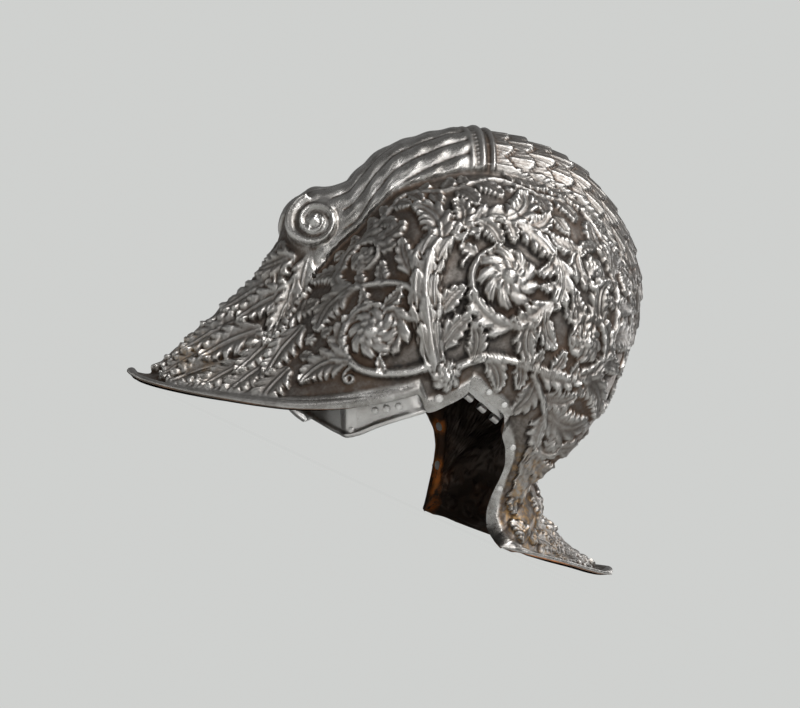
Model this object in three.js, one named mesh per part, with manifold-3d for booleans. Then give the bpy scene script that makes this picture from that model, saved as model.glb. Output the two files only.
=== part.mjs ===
// A close helmet for the open face: a steel burgonet of the sixteenth century, in millimetres.
// The bowl is one plate with a broad comb, a pointed peak and a flared neck guard. A brow plate is
// riveted inside the temples, and each side keeps the bowl's half of its cheekpiece hinge.
// Everything is drawn in the worn frame (x to the back, y to the wearer's right, z up) and then
// tipped forward, as the helmet lies by itself on the peak's tip and the neck guard's front corners.
import * as THREE from "three";
import { mergeVertices } from "three/addons/utils/BufferGeometryUtils.js";
import Module from "manifold-3d";

const wasm = await Module();
wasm.setup();

// Driving dimensions
const WALL = 1.7; // steel of the bowl
const BROW_WALL = 1.5; // steel of the brow plate
const GAP = 0.35; // between pieces that touch
const ROLL_RADIUS = 2.5; // bead along the rolled edges
const ROLL_SWELL = 1.3; // how far the bead stands out on the outer face
const SWELL_INSIDE = 0.45; // share of that on the inner face
const NARROW_SHARE = 0.2; // most thickness, as a share of the half-width, at the very tips
const COMB_SHAPE = 2.5; // roundness of the comb: 2 is an ellipse, more is squarer
const COMB_SOFTNESS = 0.72; // how steeply the comb meets the bowl
const COLUMN_SPACING = 12; // usual distance between the columns of the bowl
const COMB_ROWS = 5; // rows on half the comb
const SIDE_ROWS = 8; // rows from the comb's foot to the rolled edge
const ROLL_ROWS = 3; // rows over the rolled edge
const FOOT_LIMIT = 0.55; // where the comb's foot lies at most, as a share of the section's length
const ROLL_LIMIT = 0.4; // where the rolled edge starts at least, as a share of the side
const CREST_ROW = COMB_ROWS + SIDE_ROWS + ROLL_ROWS; // row of the middle line
const REST_TILT = THREE.MathUtils.degToRad(25.68); // forward tip from worn to resting
const BODY_CENTRE_X = -20.13; // moves the resting helmet over the origin
const REST_LIFT = 74.82; // height of the worn origin above the surface it rests on

// Sections of the bowl from the tip of the peak over the crown to the tail of the neck guard. Each
// runs from the crest (comb included) to the free edge. widest is the greatest half-width, cone is
// 1 for a straight-sided section and 0 for a round one, flare hollows it, rise and combHalf are the
// comb's height and half-width, and roll is 1 where the edge is rolled.
const COLUMNS = ["crestX", "crestZ", "edgeX", "edgeZ", "edgeHalf", "widest", "cone", "flare",
  "rise", "combHalf", "roll"];
const SECTIONS = [
  // crestX, crestZ, edgeX, edgeZ, edgeHalf, widest, cone, flare, rise, combHalf, roll
  [-150.6, -7.4, -149.2, -9.8, 5, 5, 1, 0, 0, 2.5, 1],
  [-145.6, -7.4, -145.6, -11.4, 13, 13, 1, 0, 0, 6, 1],
  [-138.9, -8.1, -138.0, -13.8, 22, 22, 1, 0.05, 0.6, 10, 1],
  [-132.3, -4.4, -131.0, -15.6, 28.5, 28.5, 1, 0.1, 2.5, 14, 1],
  [-117.9, 7.9, -118.0, -18.4, 38, 38, 1, 0.16, 8, 19, 1],
  [-101.4, 23.0, -104.0, -20.9, 47, 47, 0.95, 0.18, 12, 23, 1],
  [-84.9, 38.3, -88.5, -23.4, 57, 57, 0.85, 0.16, 15, 24, 1],
  [-74.6, 52.4, -74.5, -25.0, 65, 65, 0.75, 0.13, 20, 22.5, 1],
  [-68.2, 69.6, -62.0, -25.4, 70, 70, 0.65, 0.1, 30, 21.5, 1],
  [-61.2, 84.0, -50.0, -25.0, 75, 75.5, 0.45, 0.06, 37, 21.5, 1],
  [-52.0, 90.0, -41.5, -24.2, 77.6, 79, 0.32, 0.03, 35, 22, 1],
  [-42.6, 91.6, -34.0, -23.1, 79, 81, 0.22, 0, 27, 23, 1],
  [-33.3, 93.6, -28.0, -22.0, 80, 82.5, 0.15, 0, 22, 25, 1],
  [-21.5, 104.2, -20.0, -20.2, 81, 84, 0.06, 0, 19.5, 29, 1],
  [-11.9, 112.4, -13.4, -18.6, 81.5, 85, 0.02, 0, 18.5, 32, 0.9],
  [-6.7, 115.4, -7.6, -27.6, 80, 85.4, 0, 0, 18.5, 33, 0],
  [12.2, 122.2, 2.4, -24.0, 81, 86, 0, 0, 19, 35.5, 0],
  [32.8, 126.5, 12.6, -18.4, 81.5, 86.5, 0, 0, 19, 37, 0],
  [40.2, 126.8, 14.6, -15.9, 81.8, 86.5, 0, 0, 19, 37, 0],
  [57.6, 124.6, 24.8, -23.2, 79.4, 86.5, 0, 0, 19, 37, 0],
  [76.5, 120.4, 34.4, -30.8, 76.2, 86, 0, 0, 19, 36.6, 0],
  [83.0, 118.2, 35.2, -34.8, 74.2, 86, 0, 0, 19, 36.5, 0],
  [101.7, 109.1, 36.8, -41.6, 66.8, 84.5, 0, 0, 19, 36, 0],
  [119.0, 93.0, 39.4, -49.2, 64.4, 82.5, 0, 0, 18.5, 35, 0],
  [132.2, 74.5, 39.8, -56.6, 62.6, 80, 0, 0, 18, 33.5, 0],
  [141.2, 50.9, 38.4, -63.6, 59.8, 77, 0, 0, 17, 31.5, 0],
  [142.0, 28.7, 36.4, -69.8, 56.8, 73.5, 0, 0, 16, 29, 0],
  [136.8, 6.6, 34.6, -75.4, 54.8, 70, 0, 0, 14.5, 26, 0],
  [124.9, -16.0, 33.0, -81.0, 54, 66.5, 0, 0, 12.5, 22.5, 0],
  [100.6, -30.6, 32.1, -86.4, 55, 62.5, 0, 0, 9.5, 18.5, 0],
  [81.8, -46.0, 31.8, -91.0, 57.4, 60, 0, 0, 5, 14, 0],
  [72.5, -61.0, 32.4, -94.8, 62.4, 62.6, 0.04, 0, 0, 11, 0],
  [78.6, -76.6, 34.8, -98.8, 71.0, 71.1, 0.2, 0, 0, 10, 0.2],
  [81.0, -89.8, 42.0, -101.2, 70.6, 70.6, 0.45, 0, 0, 11, 1],
  [91.6, -100.0, 53.0, -104.8, 62.6, 62.6, 0.72, 0, 0, 11, 1],
  [100.3, -111.0, 67.6, -109.6, 52, 52, 0.85, 0, 0, 10.5, 1],
  [111.8, -119.8, 86.4, -116.0, 38, 38, 0.95, 0, 0, 9, 1],
  [121.4, -124.9, 104.5, -122.8, 23.5, 23.5, 1, 0, 0, 7, 1],
  [127.6, -127.2, 118.4, -127.6, 13, 13, 0.8, 0, 0, 5, 1],
  [130.0, -128.2, 127.2, -129.8, 6, 6, 0.6, 0, 0, 3, 1],
];

// Cubic curve through (xs, ys). Where keepsMonotone is set it never overshoots its points, which
// keeps the corners of the free edge crisp.
function curveThrough(xs, ys, keepsMonotone) {
  const last = xs.length - 1;
  const slopes = ys.slice(1).map((y, i) => (y - ys[i]) / (xs[i + 1] - xs[i]));
  const tangents = ys.map((_, i) => {
    if (i === 0) return slopes[0];
    if (i === last) return slopes[last - 1];
    const [before, after] = [slopes[i - 1], slopes[i]];
    const [left, right] = [xs[i] - xs[i - 1], xs[i + 1] - xs[i]];
    if (!keepsMonotone) return (before * right + after * left) / (left + right);
    if (before * after <= 0) return 0;
    const [w1, w2] = [2 * right + left, right + 2 * left];
    return (w1 + w2) / (w1 / before + w2 / after);
  });
  return (x) => {
    let i = 0;
    while (i < last - 1 && x > xs[i + 1]) i += 1;
    const h = xs[i + 1] - xs[i];
    const t = THREE.MathUtils.clamp((x - xs[i]) / h, 0, 1);
    const s = 1 - t;
    return ys[i] * (1 + 2 * t) * s * s + tangents[i] * h * t * s * s
      + ys[i + 1] * t * t * (3 - 2 * t) - tangents[i + 1] * h * t * t * s;
  };
}

// Distance travelled along the bowl at each section, the mean of crest and edge.
function sectionStations() {
  const at = [0];
  for (let i = 1; i < SECTIONS.length; i += 1) {
    const [a, b] = [SECTIONS[i - 1], SECTIONS[i]];
    const crest = Math.hypot(b[0] - a[0], b[1] - a[1]);
    const edge = Math.hypot(b[2] - a[2], b[3] - a[3]);
    at.push(at[i - 1] + 0.5 * (crest + edge));
  }
  return at;
}

const stations = sectionStations();
const EDGE_COLUMNS = ["edgeX", "edgeZ", "edgeHalf", "roll"];
const columnCurves = COLUMNS.map((name, i) =>
  curveThrough(stations, SECTIONS.map((row) => row[i]), EDGE_COLUMNS.includes(name)));

function sectionAt(station) {
  return Object.fromEntries(COLUMNS.map((name, i) => [name, columnCurves[i](station)]));
}

// Stations of the columns: every section, with more between those that lie far apart.
function columnStations() {
  const list = [0];
  for (let i = 1; i < stations.length; i += 1) {
    const [from, to] = [stations[i - 1], stations[i]];
    const count = Math.max(1, Math.round((to - from) / COLUMN_SPACING));
    for (let k = 1; k <= count; k += 1) list.push(from + (to - from) * k / count);
  }
  return list;
}

// Height of the comb's cross-section at a share of its half-width, from 1 at the crest to 0.
function combProfile(share) {
  return Math.pow(1 - Math.pow(Math.min(share, 1), COMB_SHAPE), COMB_SOFTNESS);
}

// Half of one section, from the crest to the free edge on the wearer's right, as fine points.
function sectionLine(section) {
  const FINE = 160;
  const edge = new THREE.Vector3(section.edgeX, 0, section.edgeZ);
  const crest = new THREE.Vector3(section.crestX, 0, section.crestZ);
  const down = edge.clone().sub(crest).normalize();
  const bowlTop = crest.clone().addScaledVector(down, section.rise);
  const depth = edge.clone().sub(bowlTop).dot(down);
  const endAngle = Math.PI - Math.asin(Math.min(1, section.edgeHalf / section.widest));
  const points = [];
  for (let i = 0; i <= FINE; i += 1) {
    const t = i / FINE;
    const angle = t * endAngle;
    const roundDepth = depth * (1 - Math.cos(angle)) / (1 - Math.cos(endAngle));
    const roundHalf = section.widest * Math.sin(angle);
    const coneHalf = section.edgeHalf * (t - section.flare * (t - t * t * t));
    const half = THREE.MathUtils.lerp(roundHalf, coneHalf, section.cone);
    const along = THREE.MathUtils.lerp(roundDepth, depth * t, section.cone);
    const comb = section.rise * combProfile(half / section.combHalf);
    const past = t > 0.5 && half < section.combHalf;
    const point = bowlTop.clone().addScaledVector(down, along - (past ? 0 : comb));
    point.y = half;
    points.push(point);
  }
  return points;
}

// Points at the given distances along a line of points.
function pointsAtDistances(line, distances) {
  const travelled = [0];
  for (let i = 1; i < line.length; i += 1) {
    travelled.push(travelled[i - 1] + line[i].distanceTo(line[i - 1]));
  }
  return distances.map((distance) => {
    let i = 1;
    while (i < line.length - 1 && travelled[i] < distance) i += 1;
    const share = (distance - travelled[i - 1]) / (travelled[i] - travelled[i - 1]);
    return line[i - 1].clone().lerp(line[i], THREE.MathUtils.clamp(share, 0, 1));
  });
}

function lengthOf(line) {
  return line.slice(1).reduce((sum, point, i) => sum + point.distanceTo(line[i]), 0);
}

// A share from 0 to 1 whose steps shorten towards the end.
function closerToEnd(share) {
  return share * (1.3 - 0.3 * share);
}

// Rows of one section: the comb, the side, and the rolled edge, each evenly spaced. Each row also
// carries its distance from the free edge.
function sectionRows(section) {
  const line = sectionLine(section);
  const whole = lengthOf(line);
  const footIndex = Math.max(1, line.findIndex((p) => p.y >= section.combHalf));
  const foot = Math.min(lengthOf(line.slice(0, footIndex + 1)), FOOT_LIMIT * whole);
  const rollStart = Math.max(whole - 2 * ROLL_RADIUS, foot + ROLL_LIMIT * (whole - foot));
  const [side, roll] = [rollStart - foot, whole - rollStart];
  const marks = [];
  for (let i = 0; i < COMB_ROWS; i += 1) marks.push(foot * i / COMB_ROWS);
  for (let i = 0; i < SIDE_ROWS; i += 1) marks.push(foot + side * closerToEnd(i / SIDE_ROWS));
  for (let i = 0; i <= ROLL_ROWS; i += 1) marks.push(rollStart + roll * i / ROLL_ROWS);
  const points = pointsAtDistances(line, marks);
  return points.map((point, i) => ({ point, fromEdge: whole - marks[i] }));
}

// Swelling of the rolled edge at a distance from it: a half circle across the bead.
function rollSwell(distance) {
  const across = (distance - ROLL_RADIUS) / ROLL_RADIUS;
  return Math.abs(across) >= 1 ? 0 : ROLL_SWELL * Math.sqrt(1 - across * across);
}

// The grid of the bowl: columns from tip to tail, rows from the right edge over the crest to the
// left edge, with outward normals and the swelling of the rolled edge.
function bowlGrid() {
  const columns = [];
  columnStations().forEach((station) => {
    const section = sectionAt(station);
    const half = sectionRows(section);
    const mirrored = half.slice(1).map((row) => ({
      point: row.point.clone().setY(-row.point.y),
      fromEdge: row.fromEdge,
    }));
    columns.push({ rows: [...half.reverse(), ...mirrored], section });
  });
  const lastColumn = columns.length - 1;
  const crest = columns.map((column) => column.rows[CREST_ROW].point);
  const whole = lengthOf(crest);
  columns.forEach((column, i) => {
    const travelled = lengthOf(crest.slice(0, i + 1));
    const fromEnd = Math.min(travelled, whole - travelled);
    column.rows.forEach((row, j) => {
      const before = columns[Math.max(0, i - 1)].rows[j].point;
      const after = columns[Math.min(lastColumn, i + 1)].rows[j].point;
      const right = column.rows[Math.max(0, j - 1)].point;
      const left = column.rows[Math.min(column.rows.length - 1, j + 1)].point;
      const along = after.clone().sub(before);
      row.normal = left.clone().sub(right).cross(along).normalize();
      row.swell = column.section.roll * rollSwell(Math.min(row.fromEdge, fromEnd));
      row.depth = Math.min(WALL + row.swell * SWELL_INSIDE, NARROW_SHARE * column.section.edgeHalf);
    });
  });
  return columns;
}

// A closed geometry from a list of points and a list of corner triples.
function geometryOf(points, corners) {
  const geometry = new THREE.BufferGeometry();
  const numbers = points.flatMap((p) => [p.x, p.y, p.z]);
  geometry.setAttribute("position", new THREE.Float32BufferAttribute(numbers, 3));
  geometry.setIndex(corners.flat());
  return geometry;
}

// Skin between two grids of the same size, outer facing out, closed along all four borders.
function thickSheet(outer, inner) {
  const rows = outer[0].length;
  const [lastColumn, lastRow] = [outer.length - 1, rows - 1];
  const out = (i, j) => i * rows + j;
  const inn = (i, j) => (outer.length + i) * rows + j;
  const corners = [];
  const quad = (a, b, c, d) => corners.push([a, b, c], [a, c, d]);
  for (let i = 0; i < lastColumn; i += 1) {
    for (let j = 0; j < lastRow; j += 1) {
      quad(out(i, j), out(i, j + 1), out(i + 1, j + 1), out(i + 1, j));
      quad(inn(i, j), inn(i + 1, j), inn(i + 1, j + 1), inn(i, j + 1));
    }
    quad(out(i, 0), out(i + 1, 0), inn(i + 1, 0), inn(i, 0));
    quad(out(i + 1, lastRow), out(i, lastRow), inn(i, lastRow), inn(i + 1, lastRow));
  }
  for (let j = 0; j < lastRow; j += 1) {
    quad(out(0, j + 1), out(0, j), inn(0, j), inn(0, j + 1));
    quad(out(lastColumn, j), out(lastColumn, j + 1), inn(lastColumn, j + 1), inn(lastColumn, j));
  }
  return geometryOf([...outer.flat(), ...inner.flat()], corners);
}

// Solids for joining and cutting
function solidOf(geometry) {
  const bare = geometry.clone();
  ["normal", "uv"].forEach((name) => bare.deleteAttribute(name));
  const merged = mergeVertices(bare, 1e-4);
  const mesh = new wasm.Mesh({
    numProp: 3,
    vertProperties: new Float32Array(merged.getAttribute("position").array),
    triVerts: new Uint32Array(merged.index.array),
  });
  return new wasm.Manifold(mesh);
}

function geometryOfSolid(solid) {
  const mesh = solid.getMesh();
  const geometry = new THREE.BufferGeometry();
  const numbers = new Float32Array(mesh.vertProperties);
  geometry.setAttribute("position", new THREE.BufferAttribute(numbers, 3));
  geometry.setIndex(new THREE.BufferAttribute(new Uint32Array(mesh.triVerts), 1));
  return geometry;
}

// One face of the bowl: its grid, moved along the normals by what offsetOf gives for each row.
function wallOf(grid, offsetOf) {
  return grid.map((column) =>
    column.rows.map((row) => row.point.clone().addScaledVector(row.normal, offsetOf(row))));
}

const grid = bowlGrid();
const outerWall = wallOf(grid, (row) => row.swell);
const innerWall = wallOf(grid, (row) => -row.depth);

// The facet of the bowl's outer wall that a line across the helmet meets at (x, z), on the right.
function facetAt(x, z) {
  const WELL_OUTSIDE = 200;
  const ray = new THREE.Ray(new THREE.Vector3(x, WELL_OUTSIDE, z), new THREE.Vector3(0, -1, 0));
  const hit = new THREE.Vector3();
  let found = null;
  for (let i = 0; i < outerWall.length - 1; i += 1) {
    for (let j = 0; j < CREST_ROW; j += 1) {
      const [a, b] = [outerWall[i][j], outerWall[i][j + 1]];
      const [c, d] = [outerWall[i + 1][j + 1], outerWall[i + 1][j]];
      [[a, b, c], [a, c, d]].forEach(([p, q, r]) => {
        if (!ray.intersectTriangle(p, q, r, false, hit)) return;
        if (found && found.point.y > hit.y) return;
        found = { point: hit.clone(), normal: q.clone().sub(p).cross(r.clone().sub(p)).normalize() };
      });
    }
  }
  if (found && found.normal.y < 0) found.normal.negate();
  return found;
}

// The outer wall at (x, z) on the right, with the mean direction of the facets around it.
function wallAt(x, z) {
  const REACH = 3.2;
  const normal = new THREE.Vector3();
  [[0, 0], [REACH, 0], [-REACH, 0], [0, REACH], [0, -REACH]].forEach(([dx, dz]) => {
    const facet = facetAt(x + dx, z + dz);
    if (facet) normal.add(facet.normal);
  });
  return { point: facetAt(x, z).point, normal: normal.normalize() };
}

// Turns a geometry whose axis is +Y so that it stands at a point along a direction.
function standing(geometry, point, direction) {
  const turn = new THREE.Quaternion().setFromUnitVectors(new THREE.Vector3(0, 1, 0), direction);
  return geometry.clone().applyQuaternion(turn).translate(point.x, point.y, point.z);
}

// The mirror image of a geometry on the wearer's left, with its faces still facing out.
function mirroredGeometry(geometry) {
  const copy = geometry.index ? geometry.toNonIndexed() : geometry.clone();
  const position = copy.getAttribute("position");
  for (let i = 0; i < position.count; i += 3) {
    const [a, b, c] = [0, 1, 2].map((k) => new THREE.Vector3().fromBufferAttribute(position, i + k));
    [a, c, b].forEach((p, k) => position.setXYZ(i + k, p.x, -p.y, p.z));
  }
  return copy;
}

// Rivets
const RIVET_SIDES = 8;
const SHANK_RADIUS = 1.1;
const SEAT_DEPTH = 4; // reach of the flat seats cut for a rivet's head and burr
const HEAD_SHOULDER = 0.7; // the head's shoulder, as a share of its radius
const SHOULDER_HEIGHT = 0.75; // and of its height

// A rivet on +Y: a domed head above the wall, a shank through it, and a burr below.
function rivetGeometry({ headRadius, headHeight, grip, burrRadius, burrHeight }) {
  const profile = [
    [0, GAP + headHeight],
    [HEAD_SHOULDER * headRadius, GAP + SHOULDER_HEIGHT * headHeight],
    [headRadius, GAP],
    [SHANK_RADIUS - GAP, GAP],
    [SHANK_RADIUS - GAP, -grip - GAP],
    [burrRadius, -grip - GAP],
    [0, -grip - GAP - burrHeight],
  ].map(([x, y]) => new THREE.Vector2(x, y));
  return new THREE.LatheGeometry(profile.reverse(), RIVET_SIDES);
}

// The hole for a rivet's shank, with a flat seat for its head and one for its burr.
function rivetBore({ form, grip, point, normal }) {
  const profile = [
    [0, -grip - SEAT_DEPTH],
    [form.burrRadius + GAP, -grip - SEAT_DEPTH],
    [form.burrRadius + GAP, -grip],
    [SHANK_RADIUS, -grip],
    [SHANK_RADIUS, 0],
    [form.headRadius + GAP, 0],
    [form.headRadius + GAP, SEAT_DEPTH],
    [0, SEAT_DEPTH],
  ].map(([x, y]) => new THREE.Vector2(x, y));
  return standing(new THREE.LatheGeometry(profile, RIVET_SIDES), point, normal);
}

// Brow plate: plan and heights from the middle of the brow to behind the temple, on the right.
// out is the distance from the middle plane, low and high are the edges.
const BROW_COLUMNS = ["x", "out", "low", "high"];
const BROW_STATIONS = [
  // x, out, low, high
  [-62.5, 0, -29.5, 4],
  [-61.2, 13, -30.2, 4],
  [-58.0, 26, -32.4, 3],
  [-53.0, 38.5, -36.0, 0],
  [-47.5, 48.8, -39.6, -5],
  [-43.2, 55.6, -41.4, -8],
  [-39.2, 60.0, -40.2, -7],
  [-31.0, 67.0, -36.0, -1],
  [-20.0, 74.0, -31.6, 4],
  [-14.0, 76.8, -29.6, 4],
  [-7.6, 77.4, -27.6, 4],
  [-3.0, 77.2, -25.0, 4],
  [4.5, 77.2, -20.6, 4],
];
const BROW_STEPS = 20;
const BROW_HEIGHT_STEPS = 3;
const BROW_EDGE = 0.9; // turned-out swelling along the plate's lower edge
const BROW_ROW_POWER = 1.6; // draws the rows towards the lower edge

function browColumn(share) {
  const travelled = [0];
  for (let i = 1; i < BROW_STATIONS.length; i += 1) {
    const [a, b] = [BROW_STATIONS[i - 1], BROW_STATIONS[i]];
    travelled.push(travelled[i - 1] + Math.hypot(b[0] - a[0], b[1] - a[1]));
  }
  const at = share * travelled[travelled.length - 1];
  return Object.fromEntries(BROW_COLUMNS.map((name, i) => {
    const curve = curveThrough(travelled, BROW_STATIONS.map((row) => row[i]), true);
    return [name, curve(at)];
  }));
}

function browPlateGeometry() {
  const half = [];
  for (let i = 0; i <= BROW_STEPS; i += 1) half.push(browColumn(i / BROW_STEPS));
  const left = half.slice(1).reverse().map((c) => ({ ...c, out: -c.out }));
  const path = [...left, ...half];
  const normalAt = (i) => {
    const a = path[Math.max(0, i - 1)];
    const b = path[Math.min(path.length - 1, i + 1)];
    return new THREE.Vector3(-(b.out - a.out), b.x - a.x, 0).normalize();
  };
  const face = (offset, swellSign) => path.map((column, i) => {
    const normal = normalAt(i);
    const rows = [];
    for (let k = 0; k <= BROW_HEIGHT_STEPS; k += 1) {
      const share = Math.pow(k / BROW_HEIGHT_STEPS, BROW_ROW_POWER);
      const swell = swellSign * (k === 0 ? BROW_EDGE : 0);
      const z = THREE.MathUtils.lerp(column.low, column.high, share);
      rows.push(new THREE.Vector3(column.x, column.out, z).addScaledVector(normal, offset + swell));
    }
    return rows;
  });
  return thickSheet(face(0, 1), face(-BROW_WALL, 0));
}

// Where a horizontal line across the helmet meets the brow plate's outer face, on the right.
function browAt(x, z) {
  const HALVINGS = 40;
  let [low, high] = [0, 1];
  for (let i = 0; i < HALVINGS; i += 1) {
    const middle = (low + high) / 2;
    if (browColumn(middle).x < x) low = middle;
    else high = middle;
  }
  const [here, next] = [browColumn(low), browColumn(Math.min(1, low + 0.01))];
  const normal = new THREE.Vector3(-(next.out - here.out), next.x - here.x, 0).normalize();
  return { point: new THREE.Vector3(here.x, here.out, z), normal };
}

// Hinge: a leaf inside the wall with three barrels along the slanting edge over the ear.
const HINGE_START = new THREE.Vector3(14.0, 80.6, -17.6);
const HINGE_END = new THREE.Vector3(34.6, 74.8, -33.2);
const LEAF_DEPTH = 10;
const LEAF_THICKNESS = 1.0;
const LEAF_INSET = 1.4; // clearance of the flat leaf from the curved wall
const BARREL_RADIUS = 2.0;
const PIN_RADIUS = 0.75;
const BARREL_SIDES = 10;
const BARREL_LENGTH = 4.6;
const BARREL_CENTRES = [0.13, 0.5, 0.87]; // shares of the hinge's length
const BARREL_DROP = 2.3; // how far the barrels' axis lies outside the edge
const BARREL_OUTSET = 0.6; // and how far outside the leaf's middle plane
const BARREL_GAPS = [[-0.02, 0.04], [0.22, 0.41], [0.59, 0.78], [0.96, 1.02]]; // shares of the length
const NOTCH_SIZE = 8; // height and depth of the notches between the barrels
const NOTCH_DROP = 4.6; // how far the notches' middle lies outside the edge
const PIN_REACH = 1.2; // length of the pin's bore, as a share of the hinge's

// Directions of the hinge on the right: along it, out of the wall, and up into the bowl. The wall's
// direction is read a little above and behind the edge, where the wall is whole.
function hingeFrame() {
  const BEHIND_EDGE = 4;
  const ABOVE_EDGE = 5;
  const along = HINGE_END.clone().sub(HINGE_START).normalize();
  const middle = HINGE_START.clone().lerp(HINGE_END, 0.5);
  const wall = wallAt(middle.x + BEHIND_EDGE, middle.z + ABOVE_EDGE);
  const outward = wall.normal.clone().addScaledVector(along, -wall.normal.dot(along)).normalize();
  const inward = along.clone().cross(outward).normalize();
  if (inward.z < 0) inward.negate();
  return { along, outward, inward, middle };
}

function hingeGeometry() {
  const { along, outward, inward, middle } = hingeFrame();
  const length = HINGE_START.distanceTo(HINGE_END);
  const turn = new THREE.Matrix4().makeBasis(along, outward, inward);
  const toEdge = -(WALL + GAP + LEAF_INSET + LEAF_THICKNESS / 2);
  const leaf = new THREE.BoxGeometry(length, LEAF_THICKNESS, LEAF_DEPTH + BARREL_DROP);
  leaf.translate(0, toEdge, (LEAF_DEPTH - BARREL_DROP) / 2);
  let solid = solidOf(leaf);
  BARREL_CENTRES.forEach((share) => {
    const barrel = new THREE.CylinderGeometry(BARREL_RADIUS, BARREL_RADIUS, BARREL_LENGTH, BARREL_SIDES);
    barrel.rotateZ(Math.PI / 2).translate((share - 0.5) * length, toEdge + BARREL_OUTSET, -BARREL_DROP);
    solid = solid.add(solidOf(barrel));
  });
  BARREL_GAPS.forEach(([from, to]) => {
    const notch = new THREE.BoxGeometry((to - from) * length, NOTCH_SIZE, NOTCH_SIZE);
    notch.translate(((from + to) / 2 - 0.5) * length, toEdge, -NOTCH_DROP);
    solid = solid.subtract(solidOf(notch));
  });
  const pinBore = new THREE.CylinderGeometry(PIN_RADIUS, PIN_RADIUS, length * PIN_REACH, RIVET_SIDES);
  pinBore.rotateZ(Math.PI / 2).translate(0, toEdge + BARREL_OUTSET, -BARREL_DROP);
  solid = solid.subtract(solidOf(pinBore));
  const geometry = geometryOfSolid(solid).applyMatrix4(turn);
  return geometry.translate(middle.x, middle.y, middle.z);
}

// Rivets of the right side: where they stand in the side view and what they hold.
const NECK_RIVET = { headRadius: 1.9, headHeight: 1.1, burrRadius: 2.9, burrHeight: 0.7 };
const TEMPLE_RIVET = { headRadius: 2.4, headHeight: 1.3, burrRadius: 2.6, burrHeight: 0.8 };
const BROW_RIVET = { headRadius: 2.1, headHeight: 1.2, burrRadius: 2.3, burrHeight: 0.7 };
const HINGE_RIVET = { headRadius: 1.7, headHeight: 0.8, burrRadius: 1.9, burrHeight: 0.6 };
const NECK_RIVETS = { upper: [42.4, -47.4], lower: [38.4, -70.0] };
const TEMPLE_RIVETS = { temple: [-2.6, -20.4] };
const BROW_RIVETS = {
  corner: [-41.8, -37.4],
  front: [-31.5, -27.0],
  middle: [-26.5, -25.8],
  rear: [-21.0, -24.6],
};
const HINGE_RIVET_SHARES = { front: 0.3, rear: 0.74 };
const HINGE_RIVET_INSET = 6.5; // from the hinge's edge, into the leaf

function rivetsOnRight() {
  const made = [];
  const add = (name, form, through, place) => made.push({ name, form, through, ...place });
  Object.entries(NECK_RIVETS).forEach(([name, [x, z]]) => {
    add(`neck_rivet_${name}`, NECK_RIVET, ["bowl"], { ...wallAt(x, z), grip: WALL });
  });
  Object.entries(TEMPLE_RIVETS).forEach(([name, [x, z]]) => {
    const place = wallAt(x, z);
    const grip = place.point.y - browAt(x, z).point.y + BROW_WALL + GAP;
    add(`${name}_rivet`, TEMPLE_RIVET, ["bowl", "brow_plate"], { ...place, grip });
  });
  Object.entries(BROW_RIVETS).forEach(([name, [x, z]]) => {
    add(`brow_rivet_${name}`, BROW_RIVET, ["brow_plate"], { ...browAt(x, z), grip: BROW_WALL });
  });
  const { along, outward, inward, middle } = hingeFrame();
  const length = HINGE_START.distanceTo(HINGE_END);
  const leafDepth = WALL + GAP + LEAF_INSET + LEAF_THICKNESS;
  Object.entries(HINGE_RIVET_SHARES).forEach(([name, share]) => {
    const onLeaf = middle.clone().addScaledVector(along, (share - 0.5) * length);
    onLeaf.addScaledVector(inward, HINGE_RIVET_INSET);
    const { point } = wallAt(onLeaf.x, onLeaf.z);
    const grip = point.clone().sub(middle).dot(outward) + leafDepth;
    add(`hinge_rivet_${name}`, HINGE_RIVET, ["bowl", "hinge"], { point, normal: outward, grip });
  });
  return made;
}

const rivets = rivetsOnRight();

// Cuts the holes of the rivets that go through a named piece, on one side or on both.
function drilled(solid, target, onBothSides) {
  let cut = solid;
  rivets.filter((rivet) => rivet.through.includes(target)).forEach((rivet) => {
    const bore = rivetBore(rivet);
    cut = cut.subtract(solidOf(bore));
    if (onBothSides) cut = cut.subtract(solidOf(mirroredGeometry(bore)));
  });
  return cut;
}

const shell = solidOf(thickSheet(outerWall, innerWall));
const bowl = geometryOfSolid(drilled(shell, "bowl", true));
const browPlate = geometryOfSolid(drilled(solidOf(browPlateGeometry()), "brow_plate", true));
const hinge = geometryOfSolid(drilled(solidOf(hingeGeometry()), "hinge", false));

// Materials
const embossedSteel = new THREE.MeshStandardMaterial({ color: 0x6b6560, roughness: 0.42, metalness: 1 });
const plainSteel = new THREE.MeshStandardMaterial({ color: 0x8a8783, roughness: 0.38, metalness: 1 });
const brightSteel = new THREE.MeshStandardMaterial({ color: 0xa9a6a0, roughness: 0.35, metalness: 1 });

// Assembly
const helmet = new THREE.Group();

function addPiece(name, geometry, material) {
  const mesh = new THREE.Mesh(geometry, material);
  mesh.name = name;
  helmet.add(mesh);
}

addPiece("bowl", bowl, embossedSteel);
addPiece("brow_plate", browPlate, plainSteel);
addPiece("hinge_right", hinge, brightSteel);
addPiece("hinge_left", mirroredGeometry(hinge), brightSteel);
rivets.forEach((rivet) => {
  const shape = rivetGeometry({ ...rivet.form, grip: rivet.grip });
  const placed = standing(shape, rivet.point, rivet.normal);
  addPiece(`${rivet.name}_right`, placed, brightSteel);
  addPiece(`${rivet.name}_left`, mirroredGeometry(placed), brightSteel);
});

// Tipped forward about the worn y axis, and set down on the surface.
helmet.rotation.y = -REST_TILT;
helmet.position.set(BODY_CENTRE_X, 0, REST_LIFT);

export default helmet;
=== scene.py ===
import math

import bpy
import numpy as np
from mathutils import Matrix, Vector


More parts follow.
